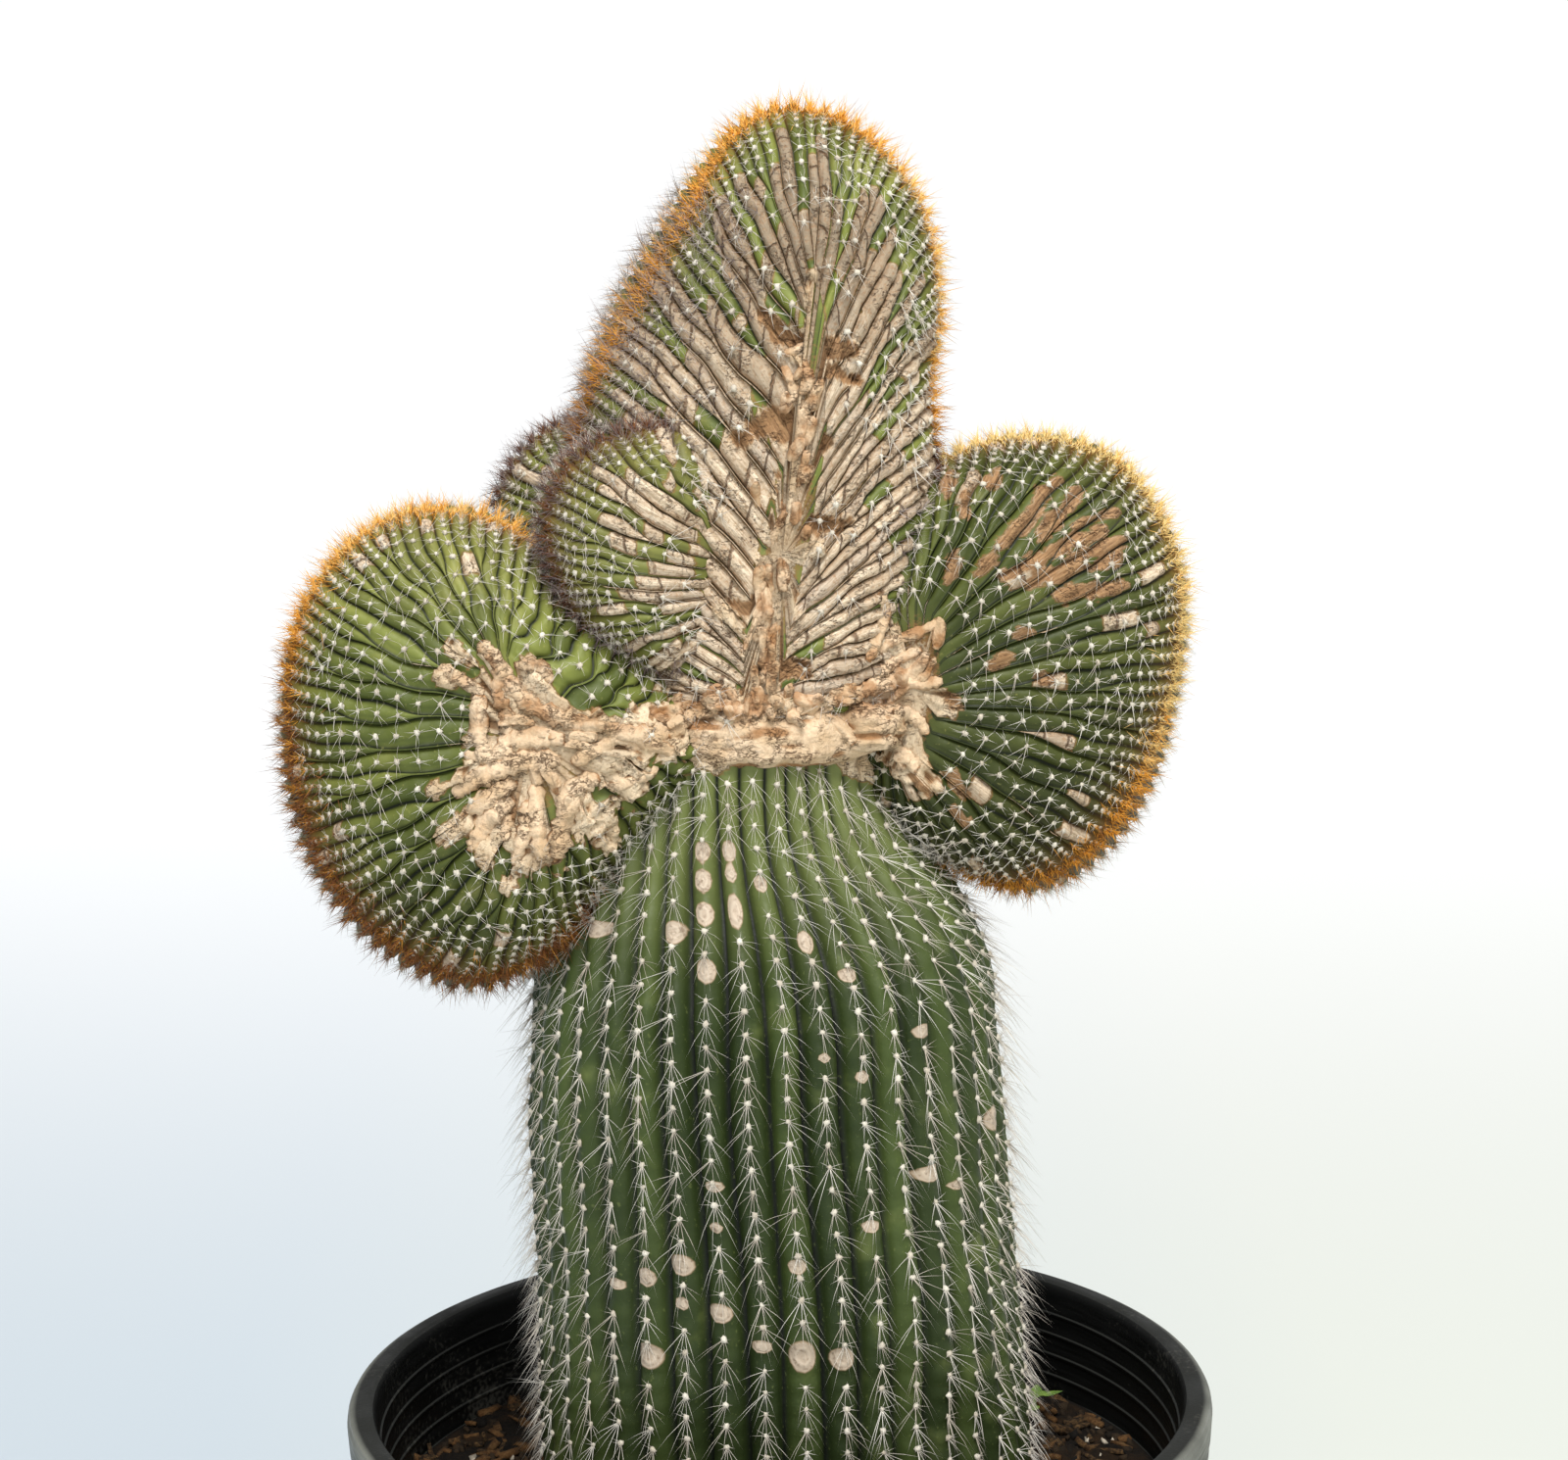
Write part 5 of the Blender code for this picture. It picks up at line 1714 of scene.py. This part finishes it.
def cluster_model(name, longs, shorts, seed):
    """Long bristles that hang away from the tip (local X) and short ones all round."""
    dice = np.random.default_rng(seed)
    parts = []
    for low, high, spread, count, width, sag, raise_ in (longs, shorts):
        for index in range(count):
            if sag:
                angle = math.radians(spread) * (2 * (index + dice.random()) / count - 1)
            else:
                angle = TURN * (index + dice.uniform(0, 0.6)) / count
            up = dice.uniform(*raise_)
            direction = (math.cos(angle), math.sin(angle), up)
            parts.append(needle(direction, dice.uniform(low, high) * MM, width * MM, sag))
    return join_up(name, parts)


cushion = cushion_model("cushion_model")
# Each kind: shortest, longest (mm), spread in degrees, count, width (mm), sag, range of rise.
stem_clusters = [cluster_model(f"stem_cluster_{k}", (9, 17, 62, 5, 0.26, 0.22, (0.35, 1.1)),
                               (3.5, 6.0, 180, 6, 0.24, 0, (0.5, 1.2)), 40 + k) for k in range(4)]
crest_clusters = [cluster_model(f"crest_cluster_{k}", (5.5, 10.0, 80, 3, 0.26, 0.08, (0.6, 1.5)),
                                (2.6, 5.4, 180, 5, 0.26, 0, (0.4, 1.2)), 50 + k) for k in range(4)]

# %% Find the areoles
solids = {}
for node_name in ["column", *CRESTS]:
    source = frame["nodes"][node_name]
    solids[node_name] = (BVHTree.FromPolygons(
        [source.matrix_world @ vert.co for vert in source.data.vertices],
        [face.vertices[:] for face in source.data.polygons]), *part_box(node_name))


def inside_solid(tree_, point):
    """Count the walls that a ray crosses: an odd count means that it starts inside."""
    ray, start, crossings = Vector((0.13, -0.21, 0.97)).normalized(), Vector(point), 0
    for _ in range(40):
        hit = tree_.ray_cast(start, ray)[0]
        if hit is None:
            break
        crossings += 1
        start = hit + ray * 0.00002
    return crossings % 2 == 1


def hidden(point, own, depth=0.0015):
    """True where a point lies inside another part."""
    for other, (tree_, low, high) in solids.items():
        if other != own and all(low[k] < point[k] < high[k] for k in range(3)):
            if inside_solid(tree_, point) and tree_.find_nearest(point)[3] > depth:
                return True
    return False


def areoles_of(skin, own):
    """Rows of place, outward direction, direction away from the tip, distance, rib width, cork."""
    found = []
    for rib in range(skin["ribs"]):
        c = rib * PER_RIB + RIB_BACK
        phase = skin["phase"][:, c]
        wholes = np.arange(math.ceil(phase[0]), math.floor(phase[-1]) + 1)
        for row in np.interp(wholes, phase, np.arange(len(phase))):
            low = min(int(row), len(phase) - 2)
            share = row - low
            point = skin["points"][low, c] * (1 - share) + skin["points"][low + 1, c] * share
            width = skin["rib_width"][low, c]
            if width < 0.0016 or not 0.08 < skin["polar"][low] < 3.06:
                continue
            if own == "column" and point[2] < SOIL_Z + 0.004:
                continue
            if hidden(Vector(point), own):
                continue
            away = skin["points"][low + 1, c] - skin["points"][low, c]
            away = away * (1 if skin["distance"][low, c] > 0 else -1)
            found.append((*point, *skin["normals"][low, c], *away, skin["distance"][low, c],
                          width, skin["cork"][low, c]))
    return np.array(found)


def standing_frames(points, normals, away, sizes, twist):
    """Matrices with Z along the normal and X near the direction away from the tip."""
    z = unit(normals)
    x = unit(away - np.sum(away * z, axis=1, keepdims=True) * z)
    return frames_on(points, x, z, sizes, sizes, twist)


areoles = {name: areoles_of(skin, name) for name, skin in skins.items()}
print("areoles", {name: len(rows) for name, rows in areoles.items()})

# %% Wool and spine materials
def two_tones(name, roughness, specular, dark, light):
    """A material whose colour follows the number that each copy stores."""
    made, tree, shader = new_material(name, roughness, specular)
    plug(tree, shader, Base_Color=mix(tree, stored(tree, "tone"), dark, light))
    return made, tree, shader


wool, tree, shader = two_tones("areole_wool", 0.95, 0.2, colour(0.40, 0.33, 0.24),
                               colour(0.78, 0.73, 0.62))
plug(tree, shader, Normal=bump(tree, clouds(tree, 0.0004, 3), 0.0003, 0.9))
spine = two_tones("white_spine", 0.5, 0.5, colour(0.50, 0.42, 0.33), colour(0.88, 0.84, 0.76))[0]

fuzz_skin, tree, shader = new_material("edge_fuzz", roughness=0.7, specular=0.3)
tone = stored(tree, "tone")
base = mix(tree, levels(tree, tone, 0.0, 0.33), colour(0.060, 0.034, 0.030),
           colour(0.26, 0.095, 0.028))
base = mix(tree, levels(tree, tone, 0.33, 0.62), base, colour(0.92, 0.42, 0.05))
base = mix(tree, levels(tree, tone, 0.62, 1.0), base, colour(0.95, 0.72, 0.30))
plug(tree, shader, Base_Color=base)

# %% Copy the cushions and spines
needle_total = 0
for name, rows in areoles.items():
    dice = np.random.default_rng(len(rows))
    slot = "stem_skin" if name == "column" else "crest_skin"
    count = len(rows)
    points, normals, away = rows[:, 0:3], rows[:, 3:6], rows[:, 6:9]
    distance, width, corky = np.abs(rows[:, 9]), rows[:, 10], rows[:, 11]
    keep = dice.random(count) > ease(0.3, 0.9, corky) * (0.75 if name != "column" else 1.0)
    growing = 1 - ease(0.003, 0.012, distance)
    if name == "column":
        growing[:] = 0
    size = (0.00075 + 0.00045 * np.minimum(1, width / 0.010)) * dice.uniform(0.8, 1.25, count)
    size = size * (1 - 0.35 * growing)
    pads = copies_of(f"{name}_wool", cushion,
                     standing_frames(points, normals, away, size, dice.uniform(0, TURN, count))[keep],
                     (dice.uniform(0.35, 1.0, count) * (1 - 0.75 * growing))[keep])
    needle_total += settle(pads, slot, wool, name)
    clusters = stem_clusters if name == "column" else crest_clusters
    keep &= growing < 0.6
    for index, cluster in enumerate(clusters):
        mine = keep & (np.arange(count) % len(clusters) == index)
        scale = dice.uniform(0.75, 1.2, count)
        if name != "column":
            scale = scale * (0.62 + 0.5 * ease(0.004, 0.03, distance))
        spines = copies_of(f"{name}_spines_{index + 1}", cluster,
                           standing_frames(points, normals, away, scale,
                                           dice.normal(0, 0.35, count))[mine],
                           dice.uniform(0.2, 1.0, count)[mine])
        needle_total += settle(spines, slot, spine, name)
print("cushions and spines", needle_total)

# %% [markdown]
# ### Fuzz on the growing edges
# The growing line of a crest is hidden under a dense band of new spines. They are orange on the
# left and centre crests, golden on the upper half of the right one, and purplish brown on the
# small crests. Three layers give its look: a felt of very short needles along the line, a tuft
# on each young areole, and single longer spines that stand out of it.

# %% Fuzz models and colours
single = needle((0, 0, 1), 1.0, 1.0, 0)
single.name = "fuzz_model"
tufts = [cluster_model(f"tuft_{k}", (3.2, 6.4, 180, 3, 0.30, 0, (0.8, 2.4)),
                       (1.6, 3.6, 180, 6, 0.32, 0, (0.5, 1.8)), 60 + k) for k in range(3)]
hairs = [cluster_model(f"hair_{k}", (7.0, 13.0, 100, 5, 0.22, 0.12, (0.5, 1.6)),
                       (4.0, 8.0, 180, 3, 0.22, 0, (0.6, 1.6)), 70 + k) for k in range(2)]
# For each crest: felt and long needles per metre of edge, half-width of the tuft band in mm.
FUZZ = {"centre_crest": (10000, 2400, 11.0), "small_crest": (4000, 900, 7.0),
        "left_crest": (11000, 3200, 15.0), "right_crest": (10000, 1800, 13.0),
        "rear_crest": (5000, 900, 7.0)}


def fuzz_tone(name, points, dice):
    """How golden the fuzz is: 0 purple-brown, 0.33 brown, 0.6 orange, 1 gold."""
    side, height = points[:, 0], points[:, 2] - CROWN_Z
    if name == "left_crest":
        tone = 0.36 + 0.40 * ease(0.00, 0.06, height)
    elif name == "right_crest":
        tone = 0.52 + 0.48 * ease(-0.05, 0.01, height)
    elif name == "centre_crest":
        tone = 0.34 + 0.34 * ease(0.08, 0.13, height) + 0.14 * ease(0.03, 0.05, side)
        tone = np.where((side > 0) & (height < 0.09), 0.14, tone)
    else:
        tone = np.full(len(points), 0.18)
    return np.clip(tone + dice.normal(0, 0.10, len(points)), 0, 1)


# %% Felt, tufts and long needles
def along_the_edge(name, count, half_band, dice):
    """Random places near a crest's growing line: points and normals."""
    skin = skins[name]
    columns = dice.integers(0, skin["points"].shape[1], count)
    offsets = dice.normal(0, half_band * 0.5 * MM, count)
    rows = np.array([np.interp(offset, skin["distance"][:, c], np.arange(len(skin["distance"])))
                     for c, offset in zip(columns, offsets)])
    low = np.minimum(rows.astype(int), len(skin["points"]) - 2)
    share = (rows - low)[:, None]
    points = (skin["points"][low, columns] * (1 - share)
              + skin["points"][low + 1, columns] * share)
    seen = np.array([not hidden(Vector(point), name, 0.002) for point in points])
    return points[seen], skin["normals"][low, columns][seen]


fuzz_total = 0
for name, (felt_density, long_density, half_band) in FUZZ.items():
    dice = np.random.default_rng(len(name) + 7)
    perimeter = CRESTS[name]["perimeter"]
    points, normals = along_the_edge(name, int(felt_density * perimeter), 4.0, dice)
    count = len(points)
    felt = copies_of(f"{name}_felt", single, frames_at(
        points - normals * 0.0004, normals + dice.normal(0, 0.5, (count, 3)),
        np.full(count, 0.00042), dice.uniform(0.0016, 0.0042, count), dice.uniform(0, TURN, count)),
        fuzz_tone(name, points, dice))
    fuzz_total += settle(felt, "crest_skin", fuzz_skin, name)
    points, normals = along_the_edge(name, int(long_density * perimeter), half_band, dice)
    count = len(points)
    longs = copies_of(f"{name}_long_spines", single, frames_at(
        points - normals * 0.0004, normals + dice.normal(0, 0.42, (count, 3)),
        np.full(count, 0.00034), dice.uniform(0.005, 0.0115, count), dice.uniform(0, TURN, count)),
        fuzz_tone(name, points, dice) * 0.85)
    fuzz_total += settle(longs, "crest_skin", fuzz_skin, name)
    rows = areoles[name]
    rows = rows[np.abs(rows[:, 9]) < half_band * MM]
    for index, tuft in enumerate(tufts):
        mine = rows[index::len(tufts)]
        count = len(mine)
        band = copies_of(f"{name}_tufts_{index + 1}", tuft, standing_frames(
            mine[:, 0:3], mine[:, 3:6], mine[:, 6:9],
            dice.uniform(0.8, 1.35, count) * (1.1 - 0.5 * np.abs(mine[:, 9]) / (half_band * MM)),
            dice.uniform(0, TURN, count)), fuzz_tone(name, mine[:, 0:3], dice))
        fuzz_total += settle(band, "crest_skin", fuzz_skin, name)
print("fuzz", fuzz_total)

# %% Grey hair
# The upper left of the centre crest is veiled in long grey hair, and so are the edges of the two
# small crests. The hair stands on areoles that chance picks, and points towards the tip.
grey_hair = two_tones("grey_hair", 0.6, 0.3, colour(0.17, 0.12, 0.12),
                      colour(0.60, 0.51, 0.47))[0]
hair_total = 0
for name in ("centre_crest", "small_crest", "rear_crest"):
    rows = areoles[name]
    dice = np.random.default_rng(91 + len(name))
    side, height, distance = rows[:, 0], rows[:, 2] - CROWN_Z, np.abs(rows[:, 9])
    if name == "centre_crest":
        chance = (1 - ease(-0.012, 0.012, side)) * ease(0.078, 0.10, height) * (
            1 - ease(0.165, 0.185, height)) * (1 - ease(0.035, 0.055, distance))
        chance = np.maximum(chance, 0.7 * ease(0.03, 0.045, side) * (1 - ease(0.05, 0.10, height)))
    else:
        chance = 0.75 * (1 - ease(0.008, 0.022, distance))
    rows = rows[dice.random(len(rows)) < chance]
    for index, hair in enumerate(hairs):
        mine = rows[index::len(hairs)]
        count = len(mine)
        veil = copies_of(f"{name}_hair_{index + 1}", hair, standing_frames(
            mine[:, 0:3], mine[:, 3:6], -mine[:, 6:9], dice.uniform(0.6, 1.1, count),
            dice.normal(0, 0.6, count)),
            dice.random(count) * (1.0 if name == "centre_crest" else 0.4))
        hair_total += settle(veil, "crest_skin", grey_hair, name)
print("hair", hair_total)
for model in (cushion, single, *stem_clusters, *crest_clusters, *tufts, *hairs):
    bpy.data.objects.remove(model, do_unlink=True)
